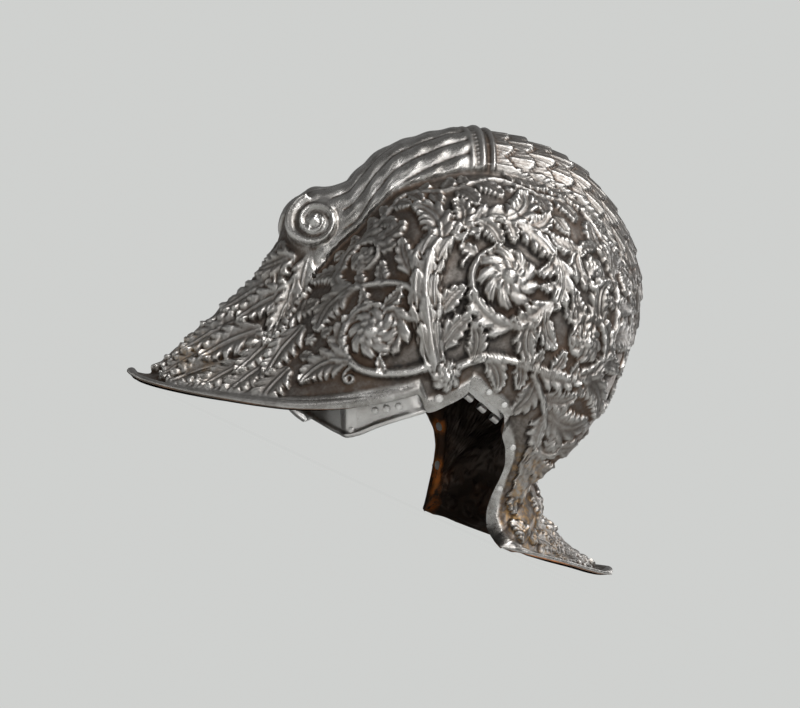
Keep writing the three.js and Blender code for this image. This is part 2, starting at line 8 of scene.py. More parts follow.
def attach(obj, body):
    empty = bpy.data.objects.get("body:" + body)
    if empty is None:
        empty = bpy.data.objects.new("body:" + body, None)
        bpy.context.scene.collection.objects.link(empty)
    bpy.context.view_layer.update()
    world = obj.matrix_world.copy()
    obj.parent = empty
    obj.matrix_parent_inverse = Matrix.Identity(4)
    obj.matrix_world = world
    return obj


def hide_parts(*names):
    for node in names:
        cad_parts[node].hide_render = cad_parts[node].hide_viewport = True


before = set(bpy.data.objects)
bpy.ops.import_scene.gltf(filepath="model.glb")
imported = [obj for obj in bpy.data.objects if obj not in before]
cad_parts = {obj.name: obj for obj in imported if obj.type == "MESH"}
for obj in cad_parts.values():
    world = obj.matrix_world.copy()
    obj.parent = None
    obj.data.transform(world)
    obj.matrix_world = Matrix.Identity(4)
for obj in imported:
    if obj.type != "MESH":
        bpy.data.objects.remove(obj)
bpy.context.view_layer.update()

# How the helmet lies: tipped forward from the worn position, then set down
REST_TILT = math.radians(25.68)
BODY_CENTRE_X = -20.13
REST_LIFT = 74.82
MM = 0.001


def turned(vectors):
    """Directions of the worn frame, as they are when the helmet lies."""
    vectors = np.asarray(vectors, float)
    c, s = math.cos(REST_TILT), math.sin(REST_TILT)
    x, y, z = vectors[..., 0], vectors[..., 1], vectors[..., 2]
    return np.stack([x * c - z * s, y, x * s + z * c], -1)


def resting(points):
    """Points of the worn frame in millimetres, as points of the resting helmet in metres."""
    return (turned(points) + [BODY_CENTRE_X, 0, REST_LIFT]) * MM


# Camera, on the photograph's line of sight
CAMERA_YAW = math.radians(15.5)
CAMERA_DROP = math.radians(1.4)
CAMERA_DISTANCE = 740
IMAGE_WIDTH = 800
PIXELS_PER_MM = 1.78
SENSOR = 36


def add_camera():
    ahead = np.array([math.cos(CAMERA_DROP) * math.sin(CAMERA_YAW),
                      math.cos(CAMERA_DROP) * math.cos(CAMERA_YAW), -math.sin(CAMERA_DROP)])
    right = np.array([math.cos(CAMERA_YAW), -math.sin(CAMERA_YAW), 0])
    up = np.cross(right, ahead)
    data = bpy.data.cameras.new("camera")
    data.sensor_width = SENSOR
    data.lens = SENSOR * PIXELS_PER_MM * CAMERA_DISTANCE / IMAGE_WIDTH
    data.clip_start = 0.01
    camera = bpy.data.objects.new("camera", data)
    axes = Matrix([list(turned(v)) for v in (right, up, -ahead)]).transposed()
    camera.matrix_world = Matrix.Translation(resting(-CAMERA_DISTANCE * ahead)) @ axes.to_4x4()
    bpy.context.scene.collection.objects.link(camera)
    bpy.context.scene.camera = camera


# The bowl's surface

WALL = 1.7  # thickness of the plate
ROLL_RADIUS = 2.5  # of the rolled rim
ROLL_SWELL = 1.3  # how far the roll stands out of the plate
SWELL_INSIDE = 0.45  # share of that swelling that shows inside too
NARROW_SHARE = 0.2  # the wall at the tips is at most this share of their half width
COMB_SHAPE = 2.5  # how square the comb's section is
COMB_SOFTNESS = 0.72
PLAIN_RIM = 9.5  # width of the rim that the ornament keeps off
BARE_TIPS = 20  # how far the ornament of the sides keeps off the ends of the crest
COLUMN_STEP = 0.848  # distance between the columns of the mesh, on the crest
COMB_ROWS = 60  # rows on half the comb
COMB_LIMIT = 0.55  # the comb's foot is at most this share of the way down a section
SIDE_ROWS = 144  # rows from the comb's foot to the free edge
INNER_STRIDE = 3  # the inner wall has one row and column for this many outer ones

# Sections of the bowl from the tip of the peak over the crown to the tail of the neck guard
COLUMNS = (
    "crest_x", "crest_z", "edge_x", "edge_z", "edge_half",
    "widest", "cone", "flare", "rise", "comb_half", "roll",
)
SECTIONS = (
    (-150.6, -7.4, -149.2, -9.8, 5, 5, 1, 0, 0, 2.5, 1),
    (-145.6, -7.4, -145.6, -11.4, 13, 13, 1, 0, 0, 6, 1),
    (-138.9, -8.1, -138.0, -13.8, 22, 22, 1, 0.05, 0.6, 10, 1),
    (-132.3, -4.4, -131.0, -15.6, 28.5, 28.5, 1, 0.1, 2.5, 14, 1),
    (-117.9, 7.9, -118.0, -18.4, 38, 38, 1, 0.16, 8, 19, 1),
    (-101.4, 23.0, -104.0, -20.9, 47, 47, 0.95, 0.18, 12, 23, 1),
    (-84.9, 38.3, -88.5, -23.4, 57, 57, 0.85, 0.16, 15, 24, 1),
    (-74.6, 52.4, -74.5, -25.0, 65, 65, 0.75, 0.13, 20, 22.5, 1),
    (-68.2, 69.6, -62.0, -25.4, 70, 70, 0.65, 0.1, 30, 21.5, 1),
    (-61.2, 84.0, -50.0, -25.0, 75, 75.5, 0.45, 0.06, 37, 21.5, 1),
    (-52.0, 90.0, -41.5, -24.2, 77.6, 79, 0.32, 0.03, 35, 22, 1),
    (-42.6, 91.6, -34.0, -23.1, 79, 81, 0.22, 0, 27, 23, 1),
    (-33.3, 93.6, -28.0, -22.0, 80, 82.5, 0.15, 0, 22, 25, 1),
    (-21.5, 104.2, -20.0, -20.2, 81, 84, 0.06, 0, 19.5, 29, 1),
    (-11.9, 112.4, -13.4, -18.6, 81.5, 85, 0.02, 0, 18.5, 32, 0.9),
    (-6.7, 115.4, -7.6, -27.6, 80, 85.4, 0, 0, 18.5, 33, 0),
    (12.2, 122.2, 2.4, -24.0, 81, 86, 0, 0, 19, 35.5, 0),
    (32.8, 126.5, 12.6, -18.4, 81.5, 86.5, 0, 0, 19, 37, 0),
    (40.2, 126.8, 14.6, -15.9, 81.8, 86.5, 0, 0, 19, 37, 0),
    (57.6, 124.6, 24.8, -23.2, 79.4, 86.5, 0, 0, 19, 37, 0),
    (76.5, 120.4, 34.4, -30.8, 76.2, 86, 0, 0, 19, 36.6, 0),
    (83.0, 118.2, 35.2, -34.8, 74.2, 86, 0, 0, 19, 36.5, 0),
    (101.7, 109.1, 36.8, -41.6, 66.8, 84.5, 0, 0, 19, 36, 0),
    (119.0, 93.0, 39.4, -49.2, 64.4, 82.5, 0, 0, 18.5, 35, 0),
    (132.2, 74.5, 39.8, -56.6, 62.6, 80, 0, 0, 18, 33.5, 0),
    (141.2, 50.9, 38.4, -63.6, 59.8, 77, 0, 0, 17, 31.5, 0),
    (142.0, 28.7, 36.4, -69.8, 56.8, 73.5, 0, 0, 16, 29, 0),
    (136.8, 6.6, 34.6, -75.4, 54.8, 70, 0, 0, 14.5, 26, 0),
    (124.9, -16.0, 33.0, -81.0, 54, 66.5, 0, 0, 12.5, 22.5, 0),
    (100.6, -30.6, 32.1, -86.4, 55, 62.5, 0, 0, 9.5, 18.5, 0),
    (81.8, -46.0, 31.8, -91.0, 57.4, 60, 0, 0, 5, 14, 0),
    (72.5, -61.0, 32.4, -94.8, 62.4, 62.6, 0.04, 0, 0, 11, 0),
    (78.6, -76.6, 34.8, -98.8, 71.0, 71.1, 0.2, 0, 0, 10, 0.2),
    (81.0, -89.8, 42.0, -101.2, 70.6, 70.6, 0.45, 0, 0, 11, 1),
    (91.6, -100.0, 53.0, -104.8, 62.6, 62.6, 0.72, 0, 0, 11, 1),
    (100.3, -111.0, 67.6, -109.6, 52, 52, 0.85, 0, 0, 10.5, 1),
    (111.8, -119.8, 86.4, -116.0, 38, 38, 0.95, 0, 0, 9, 1),
    (121.4, -124.9, 104.5, -122.8, 23.5, 23.5, 1, 0, 0, 7, 1),
    (127.6, -127.2, 118.4, -127.6, 13, 13, 0.8, 0, 0, 5, 1),
    (130.0, -128.2, 127.2, -129.8, 6, 6, 0.6, 0, 0, 3, 1),
)
EDGE_COLUMNS = ("edge_x", "edge_z", "edge_half", "roll")
FINE_STATIONS, FINE_POINTS = 4000, 241  # where the crest and each section are worked out


def curve_through(xs, ys, at, keeps_monotone=False):
    """Cubic curve through (xs, ys). Where keeps_monotone is set it never overshoots its points."""
    xs, ys, at = (np.asarray(v, float) for v in (xs, ys, at))
    step = np.diff(xs)
    slope = np.diff(ys) / step
    before, after, left, right = slope[:-1], slope[1:], step[:-1], step[1:]
    tangent = (before * right + after * left) / (left + right)
    if keeps_monotone:
        same_way = before * after > 0
        safe_before = np.where(same_way, before, 1)
        safe_after = np.where(same_way, after, 1)
        w1, w2 = 2 * right + left, right + 2 * left
        tangent = np.where(same_way, (w1 + w2) / (w1 / safe_before + w2 / safe_after), 0)
    tangent = np.concatenate([slope[:1], tangent, slope[-1:]])
    i = np.clip(np.searchsorted(xs, at) - 1, 0, len(xs) - 2)
    h = step[i]
    t = np.clip((at - xs[i]) / h, 0, 1)
    s = 1 - t
    return (ys[i] * (1 + 2 * t) * s * s + tangent[i] * h * t * s * s
            + ys[i + 1] * t * t * (3 - 2 * t) - tangent[i + 1] * h * t * t * s)


def smooth(low, high, values):
    """0 below low, 1 above high, and a soft step between."""
    t = np.clip((values - low) / (high - low), 0, 1)
    return t * t * (3 - 2 * t)


def travelled(points):
    """Distance along a line of points, from its start."""
    steps = np.linalg.norm(np.diff(points, axis=-2), axis=-1)
    zero = np.zeros(steps.shape[:-1] + (1,))
    return np.concatenate([zero, np.cumsum(steps, -1)], -1)


def sections_along():
    """The sections' values at each column of the mesh, which are an even step apart on the crest."""
    table = np.array(SECTIONS, float)
    crest_step = np.hypot(*np.diff(table[:, :2], axis=0).T)
    edge_step = np.hypot(*np.diff(table[:, 2:4], axis=0).T)
    station = np.concatenate([[0], np.cumsum(0.5 * (crest_step + edge_step))])
    fine = np.linspace(0, station[-1], FINE_STATIONS)
    reach = travelled(np.stack([curve_through(station, table[:, k], fine) for k in (0, 1)], -1))
    pace = 0.5 * (reach / reach[-1] + fine / fine[-1])
    count = INNER_STRIDE * 2 * round(reach[-1] / (COLUMN_STEP * INNER_STRIDE * 2))
    at = np.interp(np.linspace(0, 1, count + 1), pace, fine)
    return {name: curve_through(station, table[:, k], at, name in EDGE_COLUMNS)
            for k, name in enumerate(COLUMNS)}


def section_lines(sec):
    """The right half of each section as fine points, from the crest to the free edge."""
    t = np.linspace(0, 1, FINE_POINTS)[None]
    edge = np.stack([sec["edge_x"], sec["edge_z"]], -1)
    crest = np.stack([sec["crest_x"], sec["crest_z"]], -1)
    down = edge - crest
    down /= np.linalg.norm(down, axis=1, keepdims=True)
    top = crest + sec["rise"][:, None] * down
    depth = ((edge - top) * down).sum(1)[:, None]
    edge_half, widest, cone, flare, rise, comb_half = (
        sec[name][:, None] for name in ("edge_half", "widest", "cone", "flare", "rise", "comb_half"))
    end_angle = np.pi - np.arcsin(np.minimum(1, edge_half / widest))
    angle = t * end_angle
    round_depth = depth * (1 - np.cos(angle)) / (1 - np.cos(end_angle))
    round_half = widest * np.sin(angle)
    cone_half = edge_half * (t - flare * (t - t ** 3))
    half = round_half + (cone_half - round_half) * cone
    along = round_depth + (depth * t - round_depth) * cone
    comb = rise * (1 - np.minimum(half / comb_half, 1) ** COMB_SHAPE) ** COMB_SOFTNESS
    along = along - np.where((t > 0.5) & (half < comb_half), 0, comb)
    x = top[:, :1] + down[:, :1] * along
    z = top[:, 1:] + down[:, 1:] * along
    return np.stack([x, half, z], -1)


def grid_of(sec):
    """The right half's points, crest first, and each point's distance from the free edge and, on the
    comb, its distance from the crest."""
    lines = section_lines(sec)
    points, from_edge, from_crest = [], [], []
    for line, comb_half in zip(lines, sec["comb_half"]):
        reach = travelled(line)
        first = max(1, int(np.argmax(line[:, 1] >= comb_half)))
        y0, y1 = line[first - 1, 1], line[first, 1]
        part = np.clip((comb_half - y0) / max(y1 - y0, 1e-6), 0, 1)
        foot = min(reach[first - 1] + part * (reach[first] - reach[first - 1]), COMB_LIMIT * reach[-1])
        marks = np.concatenate([np.linspace(0, foot, COMB_ROWS + 1)[:-1],
                                np.linspace(foot, reach[-1], SIDE_ROWS + 1)])
        points.append(np.stack([np.interp(marks, reach, line[:, k]) for k in range(3)], -1))
        from_edge.append(reach[-1] - marks)
        from_crest.append(marks)
    return np.array(points), np.array(from_edge), np.array(from_crest)


def normals_of(points):
    """Outward directions of a right half, whose first row is its middle line."""
    mirrored = points[:, 1:2] * [1, -1, 1]
    rows = np.concatenate([mirrored, points], 1)
    across = np.gradient(rows, axis=1)[:, 1:]
    along = np.gradient(points, axis=0)
    normal = np.cross(along, across)
    return normal / np.maximum(np.linalg.norm(normal, axis=-1, keepdims=True), 1e-9)


section = sections_along()
points, from_edge, from_crest = grid_of(section)
normals = normals_of(points)
column_count, row_count = points.shape[:2]
crest_reach = travelled(points[:, 0])
from_tips = np.minimum(crest_reach, crest_reach[-1] - crest_reach)[:, None]
flat_points = points.reshape(-1, 3)
flat_normals = normals.reshape(-1, 3)
relief = np.zeros(len(flat_points))
off_comb = np.arange(row_count)[None] > COMB_ROWS + 2
on_side = ((from_edge > PLAIN_RIM) & (from_tips > BARE_TIPS) & off_comb).ravel()
column_low, column_high = points.min(1), points.max(1)

# Drawing in relief

MOST_STRETCH = 1.6  # of flat coordinates, where the surface falls away from the patch's middle
LEAST_LAID = 0.3  # least height of a form that covers others
MOST_UNDER = 2.5  # most of the height under it that such a form follows
FORM_FROM, TAKEN_FROM = 0.2, 0.3  # heights from which a form counts, and from which its ground is taken
LEAST_BODY = 12  # vertices that a form needs


def near(place, reach):
    """The vertices within a reach of a place."""
    columns = np.nonzero(((column_low < place + reach) & (column_high > place - reach)).all(1))[0]
    index = (columns[:, None] * row_count + np.arange(row_count)).ravel()
    return index[((flat_points[index] - place) ** 2).sum(1) < reach ** 2]


def nearest_vertex(x, z):
    """The vertex of the side that is seen at (x, z) from the side."""
    off = np.hypot(flat_points[:, 0] - x, flat_points[:, 2] - z)
    return int(np.argmin(off + np.where(flat_normals[:, 1] > 0.15, 0, 50)))


def turned_way(vertex, ahead, turn):
    """A way along the surface, turned to the left by some radians."""
    normal = flat_normals[vertex]
    flat = ahead - normal * (ahead @ normal)
    flat /= np.linalg.norm(flat)
    return flat * math.cos(turn) + np.cross(flat, normal) * math.sin(turn)


def direction(vertex, heading):
    """The way along the surface at a vertex: 0 degrees is to the back, and 90 is up."""
    facing = flat_normals[vertex, 0]
    back = np.array([1.0, 0, 0]) if abs(facing) < 0.85 else np.array([0, 0, -np.sign(facing)])
    return turned_way(vertex, back, math.radians(heading))


class Region:
    """Some vertices, listed in index, on which relief is drawn."""

    def raise_to(self, height):
        """Lifts the relief to a height wherever that is higher."""
        relief[self.index] = np.maximum(relief[self.index], height)

    def lay(self, form, over=0.4):
        """Puts a form on top of what is there, so that it covers it."""
        old = relief[self.index]
        laid = np.maximum(form, LEAST_LAID) + over * np.minimum(old, MOST_UNDER)
        relief[self.index] = np.where(form > 0, laid, old)


class Patch(Region):
    """The vertices around one of them in flat coordinates, a ahead and b to the left of it as seen
    from the wearer's left. Distances from the middle stay true on the curved surface."""

    def __init__(self, middle, ahead, reach):
        origin, normal = flat_points[middle], flat_normals[middle]
        index = near(origin, reach)
        self.index = index[flat_normals[index] @ normal > 0.05]
        offset = flat_points[self.index] - origin
        first = turned_way(middle, ahead, 0)
        a, b = offset @ first, offset @ np.cross(first, normal)
        stretch = np.linalg.norm(offset, axis=1) / np.maximum(np.hypot(a, b), 1e-6)
        stretch = np.minimum(stretch, MOST_STRETCH)
        self.a, self.b = a * stretch, b * stretch

    def is_free(self, height, spare, root):
        """Whether a form lies on bare ground, apart from its root, and clear of rim and comb."""
        body = (height > FORM_FROM) & (np.hypot(self.a, self.b) > root)
        if body.sum() < LEAST_BODY:
            return False
        taken = (relief[self.index] > TAKEN_FROM) | ~on_side[self.index]
        return (taken & body).sum() <= spare * body.sum()

    def nearest(self, a, b):
        """The vertex nearest to a flat place."""
        return self.index[int(np.argmin((self.a - a) ** 2 + (self.b - b) ** 2))]


def seen_from(a, b, heading):
    """Flat coordinates of the same spots, for another heading."""
    c, s = math.cos(heading), math.sin(heading)
    return a * c + b * s, b * c - a * s


def along_line(line, spots, sides=None):
    """For spots near a line: the distance travelled along it, and the distance off to its left.
    sides holds the left-hand directions of the line's pieces where it isn't flat."""
    best = np.full(len(spots), 1e9)
    reach = np.zeros(len(spots))
    aside = np.full(len(spots), 1e9)
    start = travelled(line)
    last = len(line) - 2
    for k in range(len(line) - 1):
        span = line[k + 1] - line[k]
        length = np.linalg.norm(span)
        if length < 1e-6:
            continue
        unit = span / length
        left = np.array([-unit[1], unit[0]]) if sides is None else sides[k]
        offset = spots - line[k]
        t = offset @ unit
        held = np.clip(t, 0, length)
        distance = np.sqrt(((offset - held[:, None] * unit) ** 2).sum(1))
        closer = distance < best
        best = np.where(closer, distance, best)
        free = t if k == 0 else np.maximum(t, 0)
        free = free if k == last else np.minimum(free, length)
        reach = np.where(closer, start[k] + free, reach)
        aside = np.where(closer, np.copysign(distance, offset @ left), aside)
    return reach, aside


def bent_line(length, bend, count=16, power=1.6):
    """A line from the origin along +a whose heading turns by bend radians, mostly towards its end."""
    share = np.linspace(0, 1, count)
    angle = bend * share ** power
    step = length / (count - 1)
    x = np.concatenate([[0], np.cumsum(np.cos(angle[1:]))]) * step
    y = np.concatenate([[0], np.cumsum(np.sin(angle[1:]))]) * step
    return np.stack([x, y], -1)


def dome(share, power=0.5):
    """A rounded profile: 1 at 0, falling to 0 at 1."""
    return np.maximum(1 - np.minimum(np.abs(share), 1) ** 2, 0) ** power


NOTHING = -9.0  # the height of a form where there is none


def ball(a, b, radius, step, height):
    """Height of a round form about the origin, on a step."""
    off = np.hypot(a, b) / radius
    return np.where(off < 1, step + height * dome(off), NOTHING)


def leaf_form(s, v, length, width_left, width_right, height, lobes, notch=0.42):
    """Height of an acanthus leaf, from the distance s along its midrib and v off it."""
    u = np.clip(s / length, 0, 1)
    width = np.where(v > 0, width_left, width_right)
    share = np.abs(v) / width
    envelope = np.sin(np.pi * u ** 0.8) ** 0.62 + 0.004
    q = lobes * (u * 1.04 - 0.24 * share)
    in_lobe = np.sin(np.pi * (q % 1)) ** 0.5
    fine = 0.5 + 0.5 * np.cos(2 * np.pi * 3 * q)
    edge = envelope * (1 - notch * (1 - in_lobe) - 0.07 * (1 - fine))
    e = share / edge
    channel = 1 - 0.7 * (1 - in_lobe) * smooth(0.08, 0.7, e)
    ribs = 0.84 + 0.16 * fine * smooth(0.1, 0.6, e)
    cup = 0.6 + 0.62 * smooth(0.15, 0.8, e)
    midrib = 1 - 0.4 * np.exp(-(share / 0.2) ** 2) + 0.75 * np.exp(-(share / 0.075) ** 2)
    tip = 0.55 + 0.35 * smooth(0.05, 0.5, u) + 0.45 * smooth(0.72, 0.95, u)
    body = height * dome(e ** 1.8) * cup * channel * ribs * midrib * tip
    return np.where((e < 1) & (s > 0) & (s < length), body, NOTHING)


def leaf_shape(a, b, length, width, bend, height, lobes=5):
    """Height of a leaf that starts at the origin, points ahead and curls to one side."""
    s, v = along_line(bent_line(length, bend), np.stack([a, b], -1))
    return leaf_form(s, v, length, width, width, height, lobes)


def rosette(a, b, radius, height, petals, swirl=0.0):
    """Height of a flower with two rings of petals around a boss, which may all lean one way."""
    r = np.hypot(a, b)
    angle = np.arctan2(b, a) + swirl * r / radius

    def ring(size, shift, top):
        wave = np.abs(np.cos(petals * (angle + shift) / 2)) ** 0.55
        ruffle = 0.5 + 0.5 * np.cos(3 * petals * (angle + shift))
        edge = size * (0.68 + 0.28 * wave + 0.05 * ruffle)
        e = r / edge
        crease = 1 - 0.6 * (1 - wave) * smooth(0.2, 0.8, e)
        rib = 1 - 0.16 * (1 - ruffle) * smooth(0.3, 0.7, e)
        cup = 0.42 + 0.62 * smooth(0.1, 0.85, e)
        return np.where(e < 1, top * dome(e ** 2, 0.45) * crease * rib * cup, NOTHING)

    outer = ring(radius, 0, height * 0.85)
    inner = ring(radius * 0.58, np.pi / petals, height * 1.1)
    boss = ball(a, b, 0.24 * radius, 0.6 * height, 0.6 * height)
    return np.maximum(np.maximum(outer, inner), boss)


def stem_form(s, v, width, height, length, taper):
    """Height of a round stem that tapers along its length, with a groove on each side of its back."""
    u = np.clip(s / length, 0, 1)
    w = width * (1 - (1 - taper) * u)
    e = np.abs(v) / w
    groove = 1 - 0.2 * np.exp(-((e - 0.5) / 0.14) ** 2)
    inside = (e < 1) & (s > -0.2) & (s < length)
    return np.where(inside, height * (1 - 0.3 * u) * dome(e) * groove, NOTHING)


def spiral_line(radius, turns, hand, start, shrink=0.72):
    """A spiral about the origin, inwards from its outer end at the angle start."""
    share = np.linspace(0, 1, 60)
    r = radius * (1 - shrink * share ** 0.85)
    angle = start + hand * share * turns * 2 * np.pi
    return np.stack([r * np.cos(angle), r * np.sin(angle)], -1)


def vine_knots(route, centre, turns, hand):
    """Places along a route of (x, z), and along the spiral about a centre that it may end in."""
    knots = [flat_points[nearest_vertex(x, z)] for x, z in route]
    if centre:
        middle = nearest_vertex(*centre)
        wide = np.linalg.norm(knots[-1] - flat_points[middle])
        patch = Patch(middle, direction(middle, 0), wide * 1.5)
        end = int(np.argmin(((flat_points[patch.index] - knots[-1]) ** 2).sum(1)))
        radius = float(np.hypot(patch.a[end], patch.b[end]))
        spiral = spiral_line(radius, turns, hand, math.atan2(patch.b[end], patch.a[end]))
        knots += [flat_points[patch.nearest(a, b)] for a, b in spiral[2::2]]
    return np.array(knots)


LEAFY_PITCH = 13.0  # from one ring of leaves to the next on a leafy stalk
LEAFY_WIDTH = 2.5  # of its leaves, in widths of the stem
BESIDE_VINE = 13  # how far off a vine its forms may reach


class Vine(Region):
    """A stem through some knots, and the vertices near it in distances along it (s) and off it (v)."""

    def __init__(self, knots):
        reach = travelled(knots)
        self.length = reach[-1]
        at = np.linspace(0, self.length, max(10, int(self.length / 2)))
        line = np.stack([curve_through(reach, knots[:, k], at) for k in range(3)], -1)
        for _ in range(4):
            line[1:-1] = (line[:-2] + 2 * line[1:-1] + line[2:]) / 4
        around = [near(place, 6) for place in line]
        self.vertices = [int(index[np.argmin(((flat_points[index] - place) ** 2).sum(1))])
                         for index, place in zip(around, line)]
        low, high = line.min(0) - BESIDE_VINE, line.max(0) + BESIDE_VINE
        self.index = np.nonzero(((flat_points > low) & (flat_points < high)).all(1))[0]
        self.ahead = np.gradient(line, axis=0)
        sides = np.cross(self.ahead, flat_normals[self.vertices])
        sides /= np.linalg.norm(sides, axis=1, keepdims=True)
        self.s, self.v = along_line(line, flat_points[self.index], sides)

    def stem(self, width, height, taper=0.55):
        self.raise_to(stem_form(self.s, self.v, width, height, self.length, taper))

    def garland(self, width, height, length):
        """Overlapping leaves all round the stem, with their tips ahead."""
        across = self.v / (width * (0.55 + 0.45 * smooth(0, 0.5, self.s / length)))
        best = np.full(len(self.s), NOTHING)
        open_yet = np.ones(len(self.s), bool)
        turn = self.s / LEAFY_PITCH
        for k in range(int(length / LEAFY_PITCH)):
            shift = 0.5 * (k % 2)
            file = (across + shift + 0.5) % 1 - 0.5
            reach = np.abs(2 * file)
            tip = k + 1 + 0.7 * (1 - reach ** 1.6) - 0.05 * np.cos(14 * np.pi * file)
            edge = 1 - 0.3 * np.abs(np.sin(np.pi * (turn + shift))) ** 3
            back = (tip - turn) * LEAFY_PITCH
            fall = 1 - 0.72 * np.minimum((tip - turn) / 1.7, 1)
            body = smooth(0, 0.8, back) * fall * (1 - 0.35 * reach ** 2)
            body -= 0.13 * (0.5 - 0.5 * np.cos(10 * np.pi * file))
            body += 0.16 * np.exp(-(file / 0.06) ** 2)
            mine = open_yet & (back > 0) & (np.abs(across) < edge)
            best = np.where(mine, height * body * (0.65 + 0.35 * dome(across)), best)
            open_yet &= ~mine
        self.raise_to(np.where((self.s > 0) & (self.s < self.length), best, NOTHING))

    def sheath(self, start, length, outside, width, height):
        """A leaf that hugs the stem and opens to one side of it."""
        left, right = (width, 0.35 * width) if outside > 0 else (0.35 * width, width)
        form = leaf_form(self.s - start, self.v, length, left, right, height, lobes=4, notch=0.5)
        self.lay(form, over=0.3)

    def steps(self, start, end, step, side):
        """Vertices along the stem, each with the way ahead and a side of the stem, by turns."""
        last = len(self.vertices) - 1
        for distance in np.arange(start, end, step):
            k = int(np.clip(distance / self.length * last, 0, last))
            yield self.vertices[k], self.ahead[k], side
            side = -side


def grow_leaf(vertex, ahead, turn, sizes, bend, height, shape=0.34, spare=0.12):
    """The largest leaf that finds free ground, from a vertex and at an angle to the way ahead."""
    way = turned_way(vertex, ahead, turn)
    for length in sizes:
        patch = Patch(vertex, way, length * 1.1)
        lobes = 3 + int(length > 13) + int(length > 19)
        top = height * (0.65 + 0.35 * length / sizes[0])
        form = leaf_shape(patch.a, patch.b, length, length * shape, bend, top, lobes)
        if patch.is_free(form, spare, root=0.3 * length):
            patch.lay(form)
            return True
    return False


def grow_tendril(vertex, ahead, turn, sizes, hand, height=1.5):
    """A thin tendril that rolls up at its end, the longest that finds free ground."""
    way = turned_way(vertex, ahead, turn)
    for length in sizes:
        patch = Patch(vertex, way, length * 0.8)
        line = bent_line(length, bend=hand * 7.6, count=30, power=1.9)
        s, v = along_line(line, np.stack([patch.a, patch.b], -1))
        if patch.is_free(np.where(np.abs(v) < 2.2, 1.0, NOTHING), spare=0.04, root=4):
            end_a, end_b = line[-1]
            patch.raise_to(stem_form(s, v, 1.15, height, length, taper=0.6))
            patch.raise_to(ball(patch.a - end_a, patch.b - end_b, 1.5, step=0.4, height=height))
            return


BERRY_RADIUS, BERRY_HEIGHT, BLOSSOM_HEIGHT = 1.6, 1.9, 2.4
GOLDEN_ANGLE = math.pi * (3 - math.sqrt(5))


def berries(vertex, ahead, count):
    """A cluster of berries packed like seeds, if the ground is free."""
    size = BERRY_RADIUS * math.sqrt(count) * 1.05
    patch = Patch(vertex, ahead, size + 3)
    if not patch.is_free(ball(patch.a, patch.b, size + 0.6, step=1, height=0), spare=0.02, root=0):
        return
    for k in range(count):
        r, angle = BERRY_RADIUS * 0.98 * math.sqrt(k), GOLDEN_ANGLE * k
        a, b = patch.a - r * math.cos(angle), patch.b - r * math.sin(angle)
        patch.raise_to(ball(a, b, BERRY_RADIUS, step=0.5, height=BERRY_HEIGHT))


def blossom(vertex, ahead, radius, petals):
    """A small flower, if the ground is free."""
    patch = Patch(vertex, ahead, radius * 1.3)
    if patch.is_free(ball(patch.a, patch.b, radius + 0.8, step=1, height=0), spare=0.02, root=0):
        patch.raise_to(rosette(patch.a, patch.b, radius, BLOSSOM_HEIGHT, petals))


def lay_leaf(vertex, heading, length, width, bend, height, lobes):
    """A leaf from a vertex, over what is there."""
    patch = Patch(vertex, direction(vertex, heading), length * 1.15)
    patch.lay(leaf_shape(patch.a, patch.b, length, width, bend, height, lobes), over=0.3)


# The ornament of the sides: a rinceau of spiral vines around flowers

VINES = (
    # route of places (x, z), centre of the spiral, turns, hand, width, height, flower, petals, leafy share
    (((1, -14), (-5, -4), (-9, 16), (-9, 38), (-1, 57), (16, 69)),
     (34, 41), 1.4, -1, 3.6, 4.4, 17.5, 9, 0.33),
    (((-8, -4), (-17, -6.5), (-27, -7.5), (-36, -7.5)), (-35, 13), 1.4, -1, 2.7, 3.8, 14.0, 8, 0),
    (((1, -9), (8, -4), (18, -1), (32, -1), (50, -6), (66, -11), (78, -12)),
     (78, 7), 1.3, 1, 2.6, 3.6, 11.5, 8, 0),
    (((-12, 30), (-17, 36), (-25, 38), (-34, 37)), (-33, 51), 1.3, -1, 2.2, 3.0, 8.5, 6, 0),
    (((95, 4), (101, 17), (104, 31), (101, 45)), (87, 46), 1.3, 1, 2.2, 3.0, 8.5, 6, 0),
    (((47, -8), (53, -18), (56, -32), (54, -45)), (63, -46), 1.2, 1, 2.0, 2.8, 5.5, 6, 0),
    (((55, -40), (51, -56), (47, -70), (47, -82)), None, 0, 1, 1.8, 2.4, 0, 0, 0.6),
)
LEAF_ROUNDS = (
    # sizes to try, step along the stem, angle to the stem, bend
    ((32, 28, 24), 19, 0.6, 1.5),
    ((21, 18), 9, 0.75, 1.3),
    ((15, 12, 10), 6, 0.9, 1.0),
)
SINGLE_LEAVES = (
    # x, z, heading, length, half width, bend: under the bolster, and beside the leafy stalk
    (-56, 53, 250, 25, 7.5, 0.4), (-63, 42, 248, 26, 8, 0.4), (-68, 29, 242, 24, 7.5, 0.4),
    (-14, 42, 112, 24, 6.5, -0.6), (-3, 4, 62, 25, 7.5, -0.6), (-3, 22, 58, 21, 6.5, -0.6),
)
SHEATHED = (0.3, 0.7)  # the part of each vine that has sheaths, in shares of its length
STALK_FOOT, FOOT_RADIUS = (0.5, -9.5), 8.6  # the rosette over the foot of the leafy stalk


def single_leaves():
    for x, z, *form in SINGLE_LEAVES:
        lay_leaf(nearest_vertex(x, z), *form, height=3.4, lobes=4)


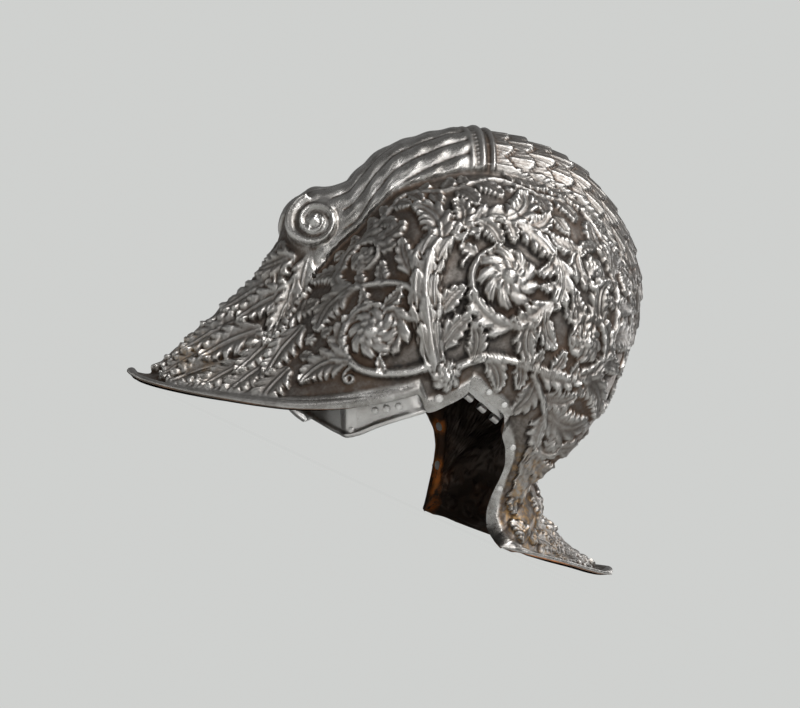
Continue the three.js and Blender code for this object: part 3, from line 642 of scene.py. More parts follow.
def side_ornament():
    vines = []
    for route, centre, turns, hand, width, height, flower, petals, leafy in VINES:
        vine = Vine(vine_knots(route, centre, turns, hand))
        vine.stem(width, height)
        if leafy:
            vine.garland(width * LEAFY_WIDTH, height * 1.1, leafy * vine.length)
        vines.append((vine, hand, height, flower, leafy * vine.length))
    for vine, hand, height, flower, first in vines:
        start = max(first + 4, SHEATHED[0] * vine.length)
        size = 15 + 0.7 * flower
        outside = -hand
        while start < SHEATHED[1] * vine.length:
            vine.sheath(start, size * 1.15, outside, size * 0.42, height)
            start += size * 0.95
            outside = -outside
    flowers = [(centre, flower, height * 1.1, petals, 0.9 * hand)
               for _, centre, _, hand, _, height, flower, petals, _ in VINES if flower]
    for centre, radius, height, petals, swirl in flowers + [(STALK_FOOT, FOOT_RADIUS, 4.8, 7, 0.4)]:
        middle = nearest_vertex(*centre)
        heading = 90 if centre is STALK_FOOT else 15 * petals
        patch = Patch(middle, direction(middle, heading), radius * 1.4)
        patch.lay(rosette(patch.a, patch.b, radius, height, petals, swirl), over=0)
    for sizes, step, turn, bend in LEAF_ROUNDS:
        for vine, hand, height, flower, first in vines:
            end = vine.length * (0.8 if flower else 1)
            for vertex, ahead, side in vine.steps(6, end, step, side=-hand):
                grow_leaf(vertex, ahead, side * turn, sizes, side * bend, height * 0.9,
                          shape=0.32, spare=0.16)
    for vine, *_ in vines:
        for vertex, ahead, side in vine.steps(9, vine.length * 0.8, step=8, side=1):
            grow_tendril(vertex, ahead, side * 0.8, (34, 28, 23), hand=side, height=1.9)


FOOT_VINE_SPAN, FOOT_VINE_PACE = (0.27, 0.8), 12  # shares of the columns, and columns between its knots
FOOT_VINE_DEPTH, FOOT_VINE_WAVE, FOOT_VINE_TURN = 12, 3.5, 1.15


def foot_vine():
    """A light vine that winds along under the comb, from the brow to the nape."""
    first, last = (int(share * column_count) for share in FOOT_VINE_SPAN)
    knots = []
    for k, column in enumerate(range(first, last, FOOT_VINE_PACE)):
        from_foot = from_crest[column, COMB_ROWS:] - from_crest[column, COMB_ROWS]
        below = FOOT_VINE_DEPTH + FOOT_VINE_WAVE * math.sin(k * FOOT_VINE_TURN)
        knots.append(points[column, COMB_ROWS + int(np.argmin(np.abs(from_foot - below)))])
    vine = Vine(np.array(knots))
    vine.stem(width=1.7, height=2.2, taper=0.8)
    for vertex, ahead, side in vine.steps(4, vine.length, step=6, side=1):
        if not grow_leaf(vertex, ahead, side * 0.8, (20, 17, 14, 11), bend=side * 1.1, height=2.7):
            grow_tendril(vertex, ahead, side * 0.9, (24, 20), hand=side)


FILLING_TRIES, FILLING_SEED = 520, 7


def filling():
    """Small flowers, berries and leaves on what ground is still free."""
    random = np.random.default_rng(FILLING_SEED)
    sides = np.nonzero(on_side)[0]
    for vertex in random.choice(sides, FILLING_TRIES, replace=False):
        ahead = direction(vertex, random.uniform(0, 360))
        kind = random.integers(0, 4)
        if kind == 0:
            blossom(vertex, ahead, random.uniform(3.4, 4.6), int(random.integers(4, 7)))
        elif kind == 1:
            berries(vertex, ahead, int(random.integers(3, 8)))
        else:
            grow_leaf(vertex, ahead, 0, (15, 12, 9), random.uniform(-1, 1), height=2.2, shape=0.4)


PEAK_LEAVES = (
    # distance along the crest, distance from it, heading, length, half width, bend
    (40, 0, 180, 27, 8.5, 0), (44, 13, 190, 25, 7.5, 0.5), (49, 25, 200, 22, 6.5, 0.6),
    (57, 7, 183, 34, 9.5, 0.3), (60, 21, 190, 31, 9, 0.5), (65, 35, 200, 27, 8, 0.7),
    (71, 0, 180, 35, 10.5, 0), (74, 13, 186, 36, 10, 0.4), (78, 28, 193, 35, 10, 0.6),
    (82, 44, 203, 29, 9, 0.8),
    (87, 7, 183, 38, 10.5, 0.3), (90, 22, 190, 38, 11, 0.5), (93, 37, 200, 36, 10, 0.7),
    (102, 0, 180, 34, 10.5, 0), (104, 14, 188, 36, 10.5, 0.4), (107, 29, 198, 36, 10.5, 0.6),
    (104, 48, 212, 32, 9.5, 0.8),
    (117, 7, 186, 32, 9.5, 0.3), (118, 20, 195, 33, 9.5, 0.5), (122, 36, 210, 36, 10, 0.7),
    (127, 17, 196, 30, 8.5, -0.5), (130, 27, 196, 34, 8.5, 0.6),
)


def vertex_at(reach, half):
    """The vertex at a distance along the crest and a distance from the middle plane."""
    column = int(np.searchsorted(crest_reach, reach))
    return column * row_count + int(np.argmin(np.abs(points[column, :, 1] - half)))


def peak_ornament():
    """Overlapping leaves over the peak, from its tip up to the bolster."""
    for reach, half, *form in PEAK_LEAVES:
        lay_leaf(vertex_at(reach, half), *form, height=3.6, lobes=5)


NECK_LEAVES = (
    # distance from the neck guard's tip, distance from the middle plane, length, half width, turn, bend
    (64, 12, 31, 8, 4, 0.3), (62, 30, 30, 8, 10, 0.3), (58, 48, 27, 7, 16, 0.3),
    (43, 3, 30, 8.5, 0, 0), (42, 20, 30, 8.5, 7, 0.3), (40, 38, 28, 8, 13, 0.3), (38, 54, 24, 7, 18, 0.3),
)
NECK_FAN = (
    # angle to the way back, length, half width
    (180, 30, 8), (150, 32, 8), (122, 34, 8), (94, 36, 8), (62, 40, 9), (32, 42, 10), (0, 44, 12),
)
FAN_CENTRE_Z = -66


def neck_ornament():
    """Rows of leaves along the neck guard, and a fan of leaves over its middle."""
    for from_tip, half, length, width, turn, bend in NECK_LEAVES:
        vertex = vertex_at(crest_reach[-1] - from_tip, half)
        patch = Patch(vertex, flat_points[vertex + 6 * row_count] - flat_points[vertex], length * 1.15)
        a, b = seen_from(patch.a, -patch.b, -math.radians(turn))
        patch.lay(leaf_shape(a, b, length, width, bend, height=2.8), over=0.3)
    column = int(np.argmin(np.abs(points[:, 0, 2] - FAN_CENTRE_Z) + np.where(points[:, 0, 0] > 60, 0, 100)))
    vertex = column * row_count
    patch = Patch(vertex, flat_points[vertex + 6 * row_count] - flat_points[vertex], 64)
    for turn, length, width in NECK_FAN:
        a, b = seen_from(patch.a, -np.abs(patch.b), -math.radians(turn))
        patch.lay(leaf_shape(a, b, length, width, bend=0.1, height=2.8, lobes=6), over=0.3)


# The comb

CROWN_X = 42.0  # where the collar crosses the crest
BOLSTER_X = -58.0  # front end of the smooth stalk
SCALE_WIDTH, SCALE_PITCH, SCALE_ROWS = 15.0, 13.5, 30
FLUTE_WIDTH, FLUTE_TWIST, KNUCKLE_PITCH = 10.5, 110, 15
COLLAR_BANDS = ((-1.0, 2.6, 3.2), (-7.5, 2.0, 2.4), (5.5, 1.6, 2.6))  # behind the crown, half width, height
BEAD_PLACE, BEAD_PITCH, BEAD_RADIUS = -4.3, 3.2, 1.5


def crest_at(x):
    """Distance along the crest to a place on its front half."""
    half = column_count // 2
    return float(np.interp(x, points[:half, 0, 0], crest_reach[:half]))


def scales(s, t):
    """Height of overlapping leaf scales, at s behind the crown and t off the crest."""
    best = np.full(s.shape, NOTHING)
    found = np.zeros(s.shape, bool)
    for k in range(SCALE_ROWS):
        lateral = (t / SCALE_WIDTH + 0.5 * (k % 2) + 0.5) % 1 - 0.5
        tip = (k + 1) * SCALE_PITCH + 5.5 * (1 - (2 * np.abs(lateral)) ** 1.7)
        tip -= 0.5 * np.cos(16 * np.pi * lateral)
        inside = (s < tip) & (s > 0) & ~found
        back = tip - s
        ribs = 0.5 + 0.5 * np.cos(11 * np.pi * lateral * (1 + 0.045 * back))
        body = 2.9 * smooth(0, 1.3, back) * (1 - 0.034 * back) * dome(1.75 * lateral, 0.35) - 0.5 * (1 - ribs)
        body += 0.9 * np.exp(-(lateral / 0.05) ** 2) * smooth(0, 3, back)
        best = np.where(inside, body, best)
        found |= inside
    return best - 0.6


def comb_relief():
    """Height over the comb: leaf scales behind the collar, a fluted stalk before it. Also where the comb
    is, and where it is polished."""
    crown, front = crest_at(CROWN_X), crest_at(BOLSTER_X)
    reach = crest_reach[:, None]
    t = from_crest
    s = reach - crown + np.zeros_like(t)
    twist = t / FLUTE_WIDTH - (crown - reach) / FLUTE_TWIST
    knuckles = 0.85 + 0.15 * np.cos(2 * np.pi * (reach + 0.5 * t) / KNUCKLE_PITCH)
    flutes = 2.4 * np.abs(np.cos(np.pi * twist)) ** 0.5 * knuckles - 0.9
    share = np.clip((reach - front) / (crown - front), 0, 1)
    stalk = flutes * smooth(0, 0.08, share) * (1 - smooth(0.92, 0.99, share)) + 0.9
    comb = np.where(s > 0, scales(s, t), stalk)
    for place, width, top in COLLAR_BANDS:
        band = np.where(np.abs(s - place) < width, top * dome((s - place) / width), NOTHING)
        comb = np.maximum(comb, band)
    beads = np.hypot(s - BEAD_PLACE, (t + BEAD_PITCH / 2) % BEAD_PITCH - BEAD_PITCH / 2) / BEAD_RADIUS
    comb = np.where(beads < 1, np.maximum(comb, 1.0 + 1.3 * dome(beads)), comb)
    foot = from_crest[:, COMB_ROWS:COMB_ROWS + 1]
    neck_end = smooth(0, 12, section["rise"])[:, None]
    on_comb = (1 - smooth(foot - 2.2, foot + 0.8, t)) * smooth(front - 10, front, reach) * neck_end
    polished = on_comb * (1 - smooth(-12, -9, s))
    return comb, on_comb, polished


BOLSTER, BOLSTER_RADIUS, EYE_RADIUS = (-52, 72), 17.5, 5.0


def bolster():
    """A spiral on each side of the stalk's front end."""
    vertex = nearest_vertex(*BOLSTER)
    patch = Patch(vertex, direction(vertex, 100), BOLSTER_RADIUS + 6.5)
    line = spiral_line(BOLSTER_RADIUS - 2, turns=2.1, hand=1, start=0, shrink=0.86)
    s, v = along_line(line, np.stack([patch.a, patch.b], -1))
    patch.raise_to(ball(patch.a, patch.b, BOLSTER_RADIUS, step=0, height=1.6))
    patch.raise_to(stem_form(s, v, width=2.9, height=4.2, length=travelled(line)[-1], taper=0.45) + 0.6)
    patch.raise_to(rosette(patch.a, patch.b, EYE_RADIUS, height=4.4, petals=6))


FRINGE_PITCH, FRINGE_ANGLE, FRINGE_LENGTH = 13.5, math.radians(34), 27
FRINGE_END = 150  # distance of its last leaf from the rear end of the comb's foot


def fringe():
    """Leaves that spring from under the comb's foot, over the sides."""
    foot_line = points[:, COMB_ROWS]
    reach = travelled(foot_line)
    crown_column = int(np.argmin(np.abs(points[:column_count // 2, 0, 0] - CROWN_X)))
    for at in np.arange(reach[-1] - FRINGE_END, reach[crown_column] + 6, -FRINGE_PITCH):
        column = int(np.searchsorted(reach, at))
        vertex = column * row_count + COMB_ROWS - 4
        patch = Patch(vertex, foot_line[column + 4] - foot_line[column], FRINGE_LENGTH + 7)
        a, b = seen_from(patch.a, patch.b, -FRINGE_ANGLE)
        patch.lay(leaf_shape(a, b, FRINGE_LENGTH, width=8, bend=0.5, height=3.2), over=0.2)


NAPE, NAPE_REACH, NAPE_CALM = (80, -44), 18, 0.45  # where the relief is lower, how far, how much
GROUND = -1.3  # height of the ground between the forms


def ornament():
    """The relief of the right half, in millimetres off the bowl's surface, and where it is polished."""
    peak_ornament()
    neck_ornament()
    bolster()
    single_leaves()
    side_ornament()
    fringe()
    foot_vine()
    filling()
    drawn = relief.reshape(column_count, row_count)
    rim = smooth(6.0, PLAIN_RIM, np.minimum(from_edge, from_tips + 3))
    comb, on_comb, polished = comb_relief()
    field = np.where(drawn > 0, np.maximum(drawn + 0.6 * GROUND, GROUND), GROUND)
    over_comb = np.maximum(comb - 0.6, np.where(drawn > 0.3, drawn - 0.2, NOTHING))
    field = field * (1 - on_comb) + over_comb * on_comb
    away = np.hypot(points[..., 0] - NAPE[0], points[..., 2] - NAPE[1]) / NAPE_REACH
    field = field * (1 - NAPE_CALM * np.exp(-away ** 2))
    return field * rim, np.maximum(polished, 1 - rim)


BROAD_PASSES = 14  # of averaging, for the broad surface that hollows and raised forms are measured from
RELIEF_INSIDE = 0.75  # how much of that surface the inside follows


def softened(field, passes):
    """The field after some passes of local averaging."""
    for _ in range(passes):
        padded = np.pad(field, 1, mode="edge")
        padded[1:-1, 0] = field[:, 1]
        field = (4 * field + padded[2:, 1:-1] + padded[:-2, 1:-1] + padded[1:-1, 2:] + padded[1:-1, :-2]) / 8
    return field


drawn_field, polish = ornament()
field = softened(drawn_field, 1)
broad = softened(field, BROAD_PASSES)
# How far each point lies below or above the broad surface. The embossed steel darkens the hollows by it,
# partly as patina and partly as painted shade.
cavity = field - broad
from_rim = np.minimum(from_edge, from_tips)
rolled = np.where(from_rim < 2 * ROLL_RADIUS, ROLL_SWELL * dome((from_rim - ROLL_RADIUS) / ROLL_RADIUS), 0)
swell = section["roll"][:, None] * rolled
outer = points + normals * (field + swell)[..., None]
wall = np.minimum(WALL + swell * SWELL_INSIDE, (NARROW_SHARE * section["edge_half"])[:, None])
inner = points - normals * (wall - RELIEF_INSIDE * np.clip(broad, -2, 2))[..., None]


def both_sides(half, flips_y=False):
    """A right half and its mirror image as one sheet, from the right edge to the left edge."""
    mirrored = half[:, 1:] * [1, -1, 1] if flips_y else half[:, 1:]
    return np.concatenate([half[:, ::-1], mirrored], 1)


RUSTED = (
    # x, z, radius, strength: around the neck rivets and down the edge below them
    (42.4, -47.4, 5.5, 1.0), (38.4, -70.0, 5, 1.0), (37.5, -78.0, 5.5, 1.0), (37.0, -86.0, 5.5, 1.0),
    (38.5, -94.5, 6, 1.0),
)
GILDED = (
    # x, z, radius, strength: what is left of gilding on the neck guard and near the peak's tip
    (48, -62, 15, 0.7), (50, -80, 17, 1.0), (58, -94, 18, 1.0), (76, -104, 18, 0.7), (-116, 0, 14, 0.5),
)


def stain(spots):
    """How stained the right half is around a table of spots."""
    share = np.zeros(points.shape[:2])
    for x, z, radius, strength in spots:
        off = np.hypot(points[..., 0] - x, points[..., 2] - z) / radius
        share = np.maximum(share, strength * (1 - smooth(0.3, 1.3, off)))
    return share


outer_sheet = both_sides(outer, True)
inner_sheet = both_sides(inner, True)
normal_sheet = both_sides(normals_of(outer), True)
cavity_sheet, height_sheet, polish_sheet, gilded_sheet, rusted_sheet = (
    both_sides(half) for half in (cavity, field, polish, stain(GILDED), stain(RUSTED)))
# The cavity in this table drives both the patina and the painted shade of the hollows.
PATINA_AND_PAINTED_SHADE = (
    # attribute that a material reads, its values on the outside, its values on the inside
    ("cavity", cavity_sheet, cavity_sheet),
    ("height", height_sheet, height_sheet),
    ("polish", polish_sheet, polish_sheet),
    ("stain", gilded_sheet, rusted_sheet),
)


def new_mesh(name, vertices, faces, materials):
    """A smooth mesh from points in millimetres of the helmet as worn."""
    mesh = bpy.data.meshes.new(name)
    mesh.from_pydata(resting(vertices).tolist(), [], faces)
    mesh.polygons.foreach_set("use_smooth", np.ones(len(faces), bool))
    for material in materials:
        mesh.materials.append(material)
    return mesh


def new_piece(mesh):
    """An object of the mesh's own name, in the scene."""
    piece = bpy.data.objects.new(mesh.name, mesh)
    bpy.context.scene.collection.objects.link(piece)
    return piece


def sheet_quads(index):
    """Quads of a grid of vertex numbers, wound so that they face out on the bowl's outer side."""
    return np.stack([index[:-1, :-1], index[:-1, 1:], index[1:, 1:], index[1:, :-1]], -1).reshape(-1, 4)


def border(index):
    """The vertex numbers around a grid, in order, starting at its first corner."""
    return np.concatenate([index[0, :-1], index[:-1, -1], index[-1, :0:-1], index[:0:-1, 0]])


def shell_piece(name, columns, rows, materials):
    """A closed piece of the bowl: fine outside, coarser inside, joined around its border."""
    cut = (slice(columns[0], columns[1] + 1), slice(rows[0], rows[1] + 1))
    coarse = (slice(columns[0], columns[1] + 1, INNER_STRIDE), slice(rows[0], rows[1] + 1, INNER_STRIDE))
    top, bottom = outer_sheet[cut], inner_sheet[coarse]
    top_index = np.arange(top.shape[0] * top.shape[1]).reshape(top.shape[:2])
    bottom_index = top_index.size + np.arange(bottom.shape[0] * bottom.shape[1]).reshape(bottom.shape[:2])
    outside, inside = sheet_quads(top_index), sheet_quads(bottom_index)[:, ::-1]
    upper, lower = border(top_index), border(bottom_index)
    walls = []
    for k, here in enumerate(lower):
        there = lower[(k + 1) % len(lower)]
        a, b, c, d = (upper[(k * INNER_STRIDE + j) % len(upper)] for j in range(INNER_STRIDE + 1))
        walls += [[b, a, here], [c, b, here], [c, here, there], [d, c, there]]
    faces = outside.tolist() + inside.tolist() + walls
    mesh = new_mesh(name, np.concatenate([top.reshape(-1, 3), bottom.reshape(-1, 3)]), faces, materials)
    is_inner = np.arange(len(faces)) >= len(outside)
    mesh.polygons.foreach_set("material_index", is_inner.astype(np.int32))
    for label, over, under in PATINA_AND_PAINTED_SHADE:
        values = np.concatenate([over[cut].ravel(), under[coarse].ravel()]).astype(np.float32)
        mesh.attributes.new(label, "FLOAT", "POINT").data.foreach_set("value", values)
    mesh.update()
    outward = turned(normal_sheet)
    facing = np.concatenate([outward[cut].reshape(-1, 3), -outward[coarse].reshape(-1, 3)])
    mesh.normals_split_custom_set_from_vertices(facing.tolist())
    piece = new_piece(mesh)
    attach(piece, "root")
    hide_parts("bowl")


# Materials

class Nodes:
    """A node tree, with a short call for each kind of node that it gets."""

    def __init__(self, tree):
        self.tree = tree

    def feed(self, node, inputs):
        """Give inputs of a node a number, a colour or what another node puts out."""
        for key, value in inputs.items():
            if isinstance(value, bpy.types.NodeSocket):
                self.tree.links.new(value, node.inputs[key])
            else:
                node.inputs[key].default_value = (*value, 1) if isinstance(value, tuple) else value

    def add(self, kind, inputs, **settings):
        """Add a node. Gives back its outputs."""
        node = self.tree.nodes.new("ShaderNode" + kind)
        for key, value in settings.items():
            setattr(node, key, value)
        self.feed(node, inputs)
        return node.outputs

    def attribute(self, name):
        return self.add("Attribute", {}, attribute_name=name)["Fac"]

    def place(self):
        return self.add("TexCoord", {})["Object"]

    def noise(self, scale, detail, roughness):
        """Noise over the object's own coordinates, with scale in features a metre."""
        inputs = {"Vector": self.place(), "Scale": scale, "Detail": detail, "Roughness": roughness}
        return self.add("TexNoise", inputs)["Fac"]

    def calc(self, operation, first, second, clamp=False):
        return self.add("Math", {0: first, 1: second}, operation=operation, use_clamp=clamp)[0]

    def times(self, first, second):
        return self.calc("MULTIPLY", first, second)

    def plus(self, first, second):
        return self.calc("ADD", first, second)

    def ramp(self, source, *stops):
        """A ramp over stops of a position and a value or a colour."""
        node = self.tree.nodes.new("ShaderNodeValToRGB")
        self.feed(node, {0: source})
        elements = node.color_ramp.elements
        while len(elements) < len(stops):
            elements.new(0.5)
        for element, (position, value) in zip(elements, stops):
            element.position = position
            element.color = (*value, 1) if isinstance(value, tuple) else (value, value, value, 1)
        return node.outputs[0]

    def mix(self, factor, first, second, blend="MIX"):
        """Two colours mixed. Sockets 6 and 7 are the node's colours, and 2 is the colour that it puts out."""
        return self.add("Mix", {0: factor, 6: first, 7: second}, data_type="RGBA", blend_type=blend)[2]

    def bump(self, height, distance):
        return self.add("Bump", {"Height": height, "Distance": distance})[0]

    def seen_by_camera(self, lit, seen):
        """One shader where the camera looks straight at it, another for the light that it sends."""
        return self.add("MixShader", {0: self.add("LightPath", {})["Is Camera Ray"], 1: lit, 2: seen})[0]


def new_material(name):
    material = bpy.data.materials.new(name)
    material.use_nodes = True
    return material, Nodes(material.node_tree), material.node_tree.nodes["Principled BSDF"]


def embossed_steel():
    """Grey steel, rubbed bright on the raised forms, brown and dull in the hollows, which darken with their
    depth to nearly black: partly patina and partly painted shade.
    """
    material, nodes, shader = new_material("embossed_steel")
    depth, height, polish, gilding = map(nodes.attribute, ("cavity", "height", "polish", "stain"))
    clouds = nodes.noise(26, 5, 0.6)
    grain = nodes.noise(420, 6, 0.65)
    fine = nodes.noise(1900, 3, 0.6)
    # This value mixes grain and the rubbing of raised forms with the depth of the hollows, so it carries
    # painted shade as well as patina and wear.
    wear_and_painted_shade = nodes.plus(nodes.times(depth, 0.42), nodes.times(nodes.plus(grain, -0.5), 0.5))
    wear_and_painted_shade = nodes.plus(nodes.plus(wear_and_painted_shade, nodes.times(height, 0.09)), 0.42)
    # The darkest stops paint shade into the deepest hollows, on top of the dark patina.
    steel = nodes.ramp(wear_and_painted_shade, (0.0, (0.025, 0.021, 0.018)), (0.2, (0.1, 0.089, 0.08)),
                       (0.4, (0.23, 0.215, 0.2)), (0.65, (0.36, 0.347, 0.33)), (1.0, (0.52, 0.505, 0.485)))
    hollow = nodes.ramp(wear_and_painted_shade, (0.2, 1.0), (0.52, 0.0))
    stained = nodes.ramp(clouds, (0.42, 0.0), (0.62, 1.0))
    rust = nodes.times(nodes.times(stained, hollow), 0.45)
    colour = nodes.mix(rust, steel, (0.14, 0.08, 0.045))
    warm = nodes.times(nodes.ramp(nodes.noise(60, 4, 0.55), (0.45, 0.0), (0.75, 1.0)), 0.34)
    colour = nodes.mix(warm, colour, (0.7, 0.6, 0.51), "MULTIPLY")
    gilt = nodes.times(gilding, nodes.ramp(nodes.noise(260, 6, 0.7), (0.47, 0.0), (0.6, 0.65)))
    colour = nodes.mix(gilt, colour, (0.4, 0.235, 0.08))
    rubbed = nodes.times(polish, nodes.ramp(clouds, (0.3, 0.45), (0.55, 1.0)))
    dulled = nodes.ramp(nodes.noise(90, 6, 0.65), (0.35, 1.0), (0.62, 0.0))
    bright = nodes.mix(dulled, (0.52, 0.508, 0.49), (0.27, 0.257, 0.24))
    colour = nodes.mix(nodes.times(rubbed, nodes.ramp(wear_and_painted_shade, (0.2, 0.0), (0.42, 1.0))), colour, bright)
    rough = nodes.ramp(wear_and_painted_shade, (0.0, 0.7), (0.3, 0.45), (0.6, 0.35), (1.0, 0.28))
    rough = nodes.plus(rough, nodes.times(rubbed, -0.13))
    rough = nodes.plus(rough, nodes.times(nodes.plus(fine, -0.5), 0.16))
    metal = nodes.ramp(wear_and_painted_shade, (0.05, 0.5), (0.25, 1.0))
    pits = nodes.bump(nodes.plus(grain, nodes.times(fine, 0.5)), 0.0002)
    nodes.feed(shader, {"Base Color": colour, "Roughness": rough, "Metallic": metal, "Normal": pits})
    return material


def inner_steel():
    """The nearly black inside, with brown rust around the neck rivets."""
    material, nodes, shader = new_material("inner_steel")
    clouds = nodes.noise(22, 6, 0.62)
    fine = nodes.noise(300, 5, 0.6)
    blotches = nodes.noise(130, 6, 0.7)
    base = nodes.mix(nodes.ramp(clouds, (0.46, 0.0), (0.68, 1.0)), (0.11, 0.085, 0.068), (0.24, 0.12, 0.06))
    rusty = nodes.times(nodes.attribute("stain"), nodes.ramp(blotches, (0.36, 0.0), (0.5, 1.0)))
    colour = nodes.mix(rusty, base, (0.9, 0.29, 0.055))
    metal = nodes.calc("SUBTRACT", 0.7, nodes.times(rusty, 0.7), True)
    pits = nodes.bump(fine, 0.0004)
    nodes.feed(shader, {"Base Color": colour, "Roughness": 0.5, "Metallic": metal, "Normal": pits})
    return material


def plain_steel(name, bright, dark, roughness, metallic=0.95):
    """Smooth worn steel with faint clouds, specks and pits."""
    material, nodes, shader = new_material(name)
    clouds = nodes.ramp(nodes.noise(45, 6, 0.6), (0.3, dark), (0.62, bright))
    fine = nodes.noise(900, 4, 0.6)
    specks = nodes.times(nodes.ramp(nodes.noise(260, 6, 0.7), (0.62, 0.0), (0.72, 1.0)), 0.5)
    colour = nodes.mix(specks, clouds, (0.1, 0.07, 0.05))
    rough = nodes.plus(nodes.times(fine, 0.2), roughness - 0.1)
    pits = nodes.bump(fine, 0.00012)
    nodes.feed(shader, {"Base Color": colour, "Roughness": rough, "Metallic": metallic, "Normal": pits})
    return material


def add_bowl():
    outside, inside = embossed_steel(), inner_steel()
    last_column, last_row = outer_sheet.shape[0] - 1, outer_sheet.shape[1] - 1
    middle = INNER_STRIDE * (last_column // (2 * INNER_STRIDE))
    for end, columns in (("front", (0, middle)), ("rear", (middle, last_column))):
        shell_piece(f"bowl_right_{end}", columns, (0, SIDE_ROWS), (outside, inside))
        shell_piece(f"bowl_comb_{end}", columns, (SIDE_ROWS, last_row - SIDE_ROWS), (outside, inside))
        shell_piece(f"bowl_left_{end}", columns, (last_row - SIDE_ROWS, last_row), (outside, inside))


# The brow plate, with a bead along its lower edge and a fold at each cusp

BROW_STATIONS = (
    # x, out, low, high: the right half, from the middle of the brow to behind the temple
    (-62.5, 0, -29.5, 4), (-61.2, 13, -30.2, 4), (-58.0, 26, -32.4, 3), (-53.0, 38.5, -36.0, 0),
    (-47.5, 48.8, -39.6, -5), (-43.2, 55.6, -41.4, -8), (-39.2, 60.0, -40.2, -7), (-31.0, 67.0, -36.0, -1),
    (-20.0, 74.0, -31.6, 4), (-14.0, 76.8, -29.6, 4), (-7.6, 77.4, -27.6, 4), (-3.0, 77.2, -25.0, 4),
    (4.5, 77.2, -20.6, 4),
)
CUSP = 5  # the station of the cusp
BROW_WALL = 1.5
BROW_BEAD = 1.5
BEAD_SETBACK = 0.3  # how far the bead's middle lies behind the plate's face
FOLD_HEIGHT, FOLD_WIDTH = 1.1, 5.0


def brow_rings():
    """Lines along the plate, one after another down its face, around the bead and up its back."""
    table = np.array(BROW_STATIONS, float)
    reach = travelled(table[:, :2])
    at = np.linspace(0, reach[-1], 121)
    x, out, low, high = (curve_through(reach, table[:, k], at, True) for k in range(4))
    fold = FOLD_HEIGHT * np.maximum(0, 1 - np.abs(at - reach[CUSP]) / FOLD_WIDTH)
    path = np.concatenate([np.stack([x, -out], -1)[:0:-1], np.stack([x, out], -1)])
    ahead = np.gradient(path, axis=0)
    outward = np.stack([-ahead[:, 1], ahead[:, 0]], -1) / np.linalg.norm(ahead, axis=1, keepdims=True)
    low, high, fold = (np.concatenate([values[:0:-1], values]) for values in (low, high, fold))
    above_bead = low + 3 * BROW_BEAD
    profile = [(fold, high + (above_bead - high) * share) for share in np.linspace(0, 1, 7)]
    for angle in np.radians(np.linspace(55, -190, 12)):
        offset = fold - BEAD_SETBACK + BROW_BEAD * math.cos(angle)
        profile.append((offset, low + BROW_BEAD * (1 + math.sin(angle))))
    for share in np.linspace(0, 1, 5):
        profile.append((fold - BROW_WALL, above_bead + (high - above_bead) * share))
    return np.array([np.concatenate([path + outward * offset[:, None], z[:, None]], 1)
                     for offset, z in profile])


def add_brow_plate():
    rings = brow_rings()
    index = np.arange(rings.shape[0] * rings.shape[1]).reshape(rings.shape[:2])
    index = np.concatenate([index, index[:1]])
    faces = sheet_quads(index)[:, ::-1].tolist() + [index[:-1, 0][::-1].tolist(), index[:-1, -1].tolist()]
    steel = plain_steel("plain_steel", (0.8, 0.79, 0.77), (0.52, 0.5, 0.475), roughness=0.32)
    mesh = new_mesh("brow_plate_fine", rings.reshape(-1, 3), faces, (steel,))
    mesh.set_sharp_from_angle(angle=math.radians(50))
    piece = new_piece(mesh)
    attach(piece, "root")
    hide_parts("brow_plate")


def dress_fittings():
    """Steel for the hinges and the rivets, which keep their own solids."""
    rivet_steel = plain_steel("bright_steel", (0.72, 0.71, 0.69), (0.6, 0.585, 0.56),
                              roughness=0.42, metallic=0.35)
    hinge_steel = plain_steel("hinge_steel", (0.46, 0.45, 0.435), (0.26, 0.245, 0.225), roughness=0.3)
    for name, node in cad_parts.items():
        if name not in ("bowl", "brow_plate"):
            node.data.materials.clear()
            node.data.materials.append(hinge_steel if name in ("hinge_right", "hinge_left") else rivet_steel)


# Surroundings

BACKDROP = (0.625, 0.635, 0.622)
ROOM_LIGHT = 0.21
FLOOR_SHADE = (0.7, 0.71, 0.7)
SHADOW_FADED = 0.97  # how much of the backdrop shows through the shadows at the middle of the floor
FLOOR_FADES = (0.08, 0.19)  # distances over which the floor passes into the backdrop
FLOOR_RADIUS = 9


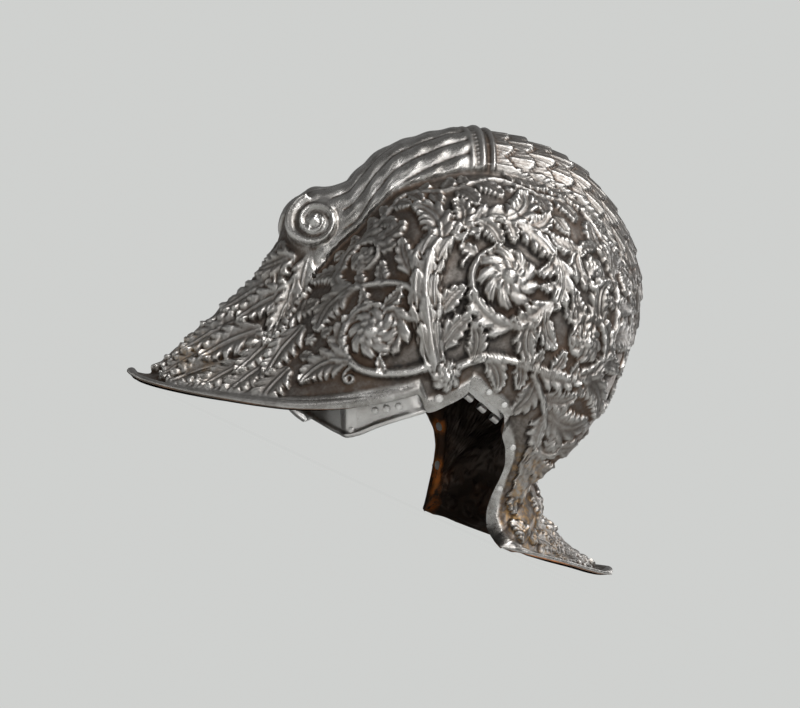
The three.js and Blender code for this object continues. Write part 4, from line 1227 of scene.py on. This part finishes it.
def add_floor():
    """A pale floor that takes shadows near the helmet and passes into the backdrop around it."""
    bpy.ops.mesh.primitive_circle_add(vertices=96, radius=FLOOR_RADIUS, fill_type="NGON")
    floor = bpy.context.object
    floor.name = "floor"
    material, nodes, shader = new_material("floor")
    nodes.feed(shader, {"Base Color": FLOOR_SHADE, "Roughness": 1, "Specular IOR Level": 0})
    away = nodes.add("VectorMath", {0: nodes.place()}, operation="LENGTH")["Value"]
    share = nodes.calc("DIVIDE", nodes.plus(away, -FLOOR_FADES[0]), FLOOR_FADES[1] - FLOOR_FADES[0], True)
    share = nodes.plus(nodes.times(share, 1 - SHADOW_FADED), SHADOW_FADED)
    backdrop = nodes.add("Emission", {"Color": BACKDROP})[0]
    faded = nodes.add("MixShader", {0: share, 1: shader.outputs[0], 2: backdrop})[0]
    surface = nodes.seen_by_camera(shader.outputs[0], faded)
    nodes.feed(material.node_tree.nodes["Material Output"], {"Surface": surface})
    floor.data.materials.append(material)


PANELS = (
    # name, place, size, power
    ("key", (0.3, -0.85, 1.75), (1.0, 1.0), 26),
    ("side", (0.25, -1.8, 0.8), (0.7, 0.7), 10),
    ("front_fill", (-1.4, -1.1, 1.0), (0.5, 0.9), 2.5),
    ("rear_rim", (1.5, 0.9, 0.7), (0.5, 1.2), 6),
)
PANEL_TARGET = (0, 0, 0.11)
SPOT_PLACE, SPOT_TARGET, SPOT_ANGLE, SPOT_POWER = (-0.1, -0.8, 0.02), (0.04, 0.07, 0.035), 5.6, 3.2


def aim_light(data, place, target, power):
    data.energy = power
    light = bpy.data.objects.new(data.name, data)
    light.location = place
    light.rotation_euler = (Vector(target) - Vector(place)).to_track_quat("-Z", "Y").to_euler()
    bpy.context.scene.collection.objects.link(light)


def add_lights():
    """Panels around the helmet, and a spot through the near cheek gap onto the far inside."""
    for name, place, size, power in PANELS:
        panel = bpy.data.lights.new(name, "AREA")
        panel.shape = "RECTANGLE"
        panel.size, panel.size_y = size
        aim_light(panel, place, PANEL_TARGET, power)
    spot = bpy.data.lights.new("inside", "SPOT")
    spot.spot_size = math.radians(SPOT_ANGLE)
    spot.spot_blend = 0.7
    spot.shadow_soft_size = 0.03
    aim_light(spot, SPOT_PLACE, SPOT_TARGET, SPOT_POWER)


def add_world():
    """A pale room behind the helmet, and a dimmer one that lights it and shows in its steel."""
    world = bpy.data.worlds.new("studio")
    world.use_nodes = True
    bpy.context.scene.world = world
    nodes = Nodes(world.node_tree)
    behind = world.node_tree.nodes["Background"]
    nodes.feed(behind, {"Color": BACKDROP})
    room = nodes.add("Background", {"Color": (1, 1, 1), "Strength": ROOM_LIGHT})[0]
    surface = nodes.seen_by_camera(room, behind.outputs[0])
    nodes.feed(world.node_tree.nodes["World Output"], {"Surface": surface})


bpy.context.scene.view_settings.view_transform = "Standard"
add_camera()
add_bowl()
add_brow_plate()
dress_fittings()
add_floor()
add_lights()
add_world()
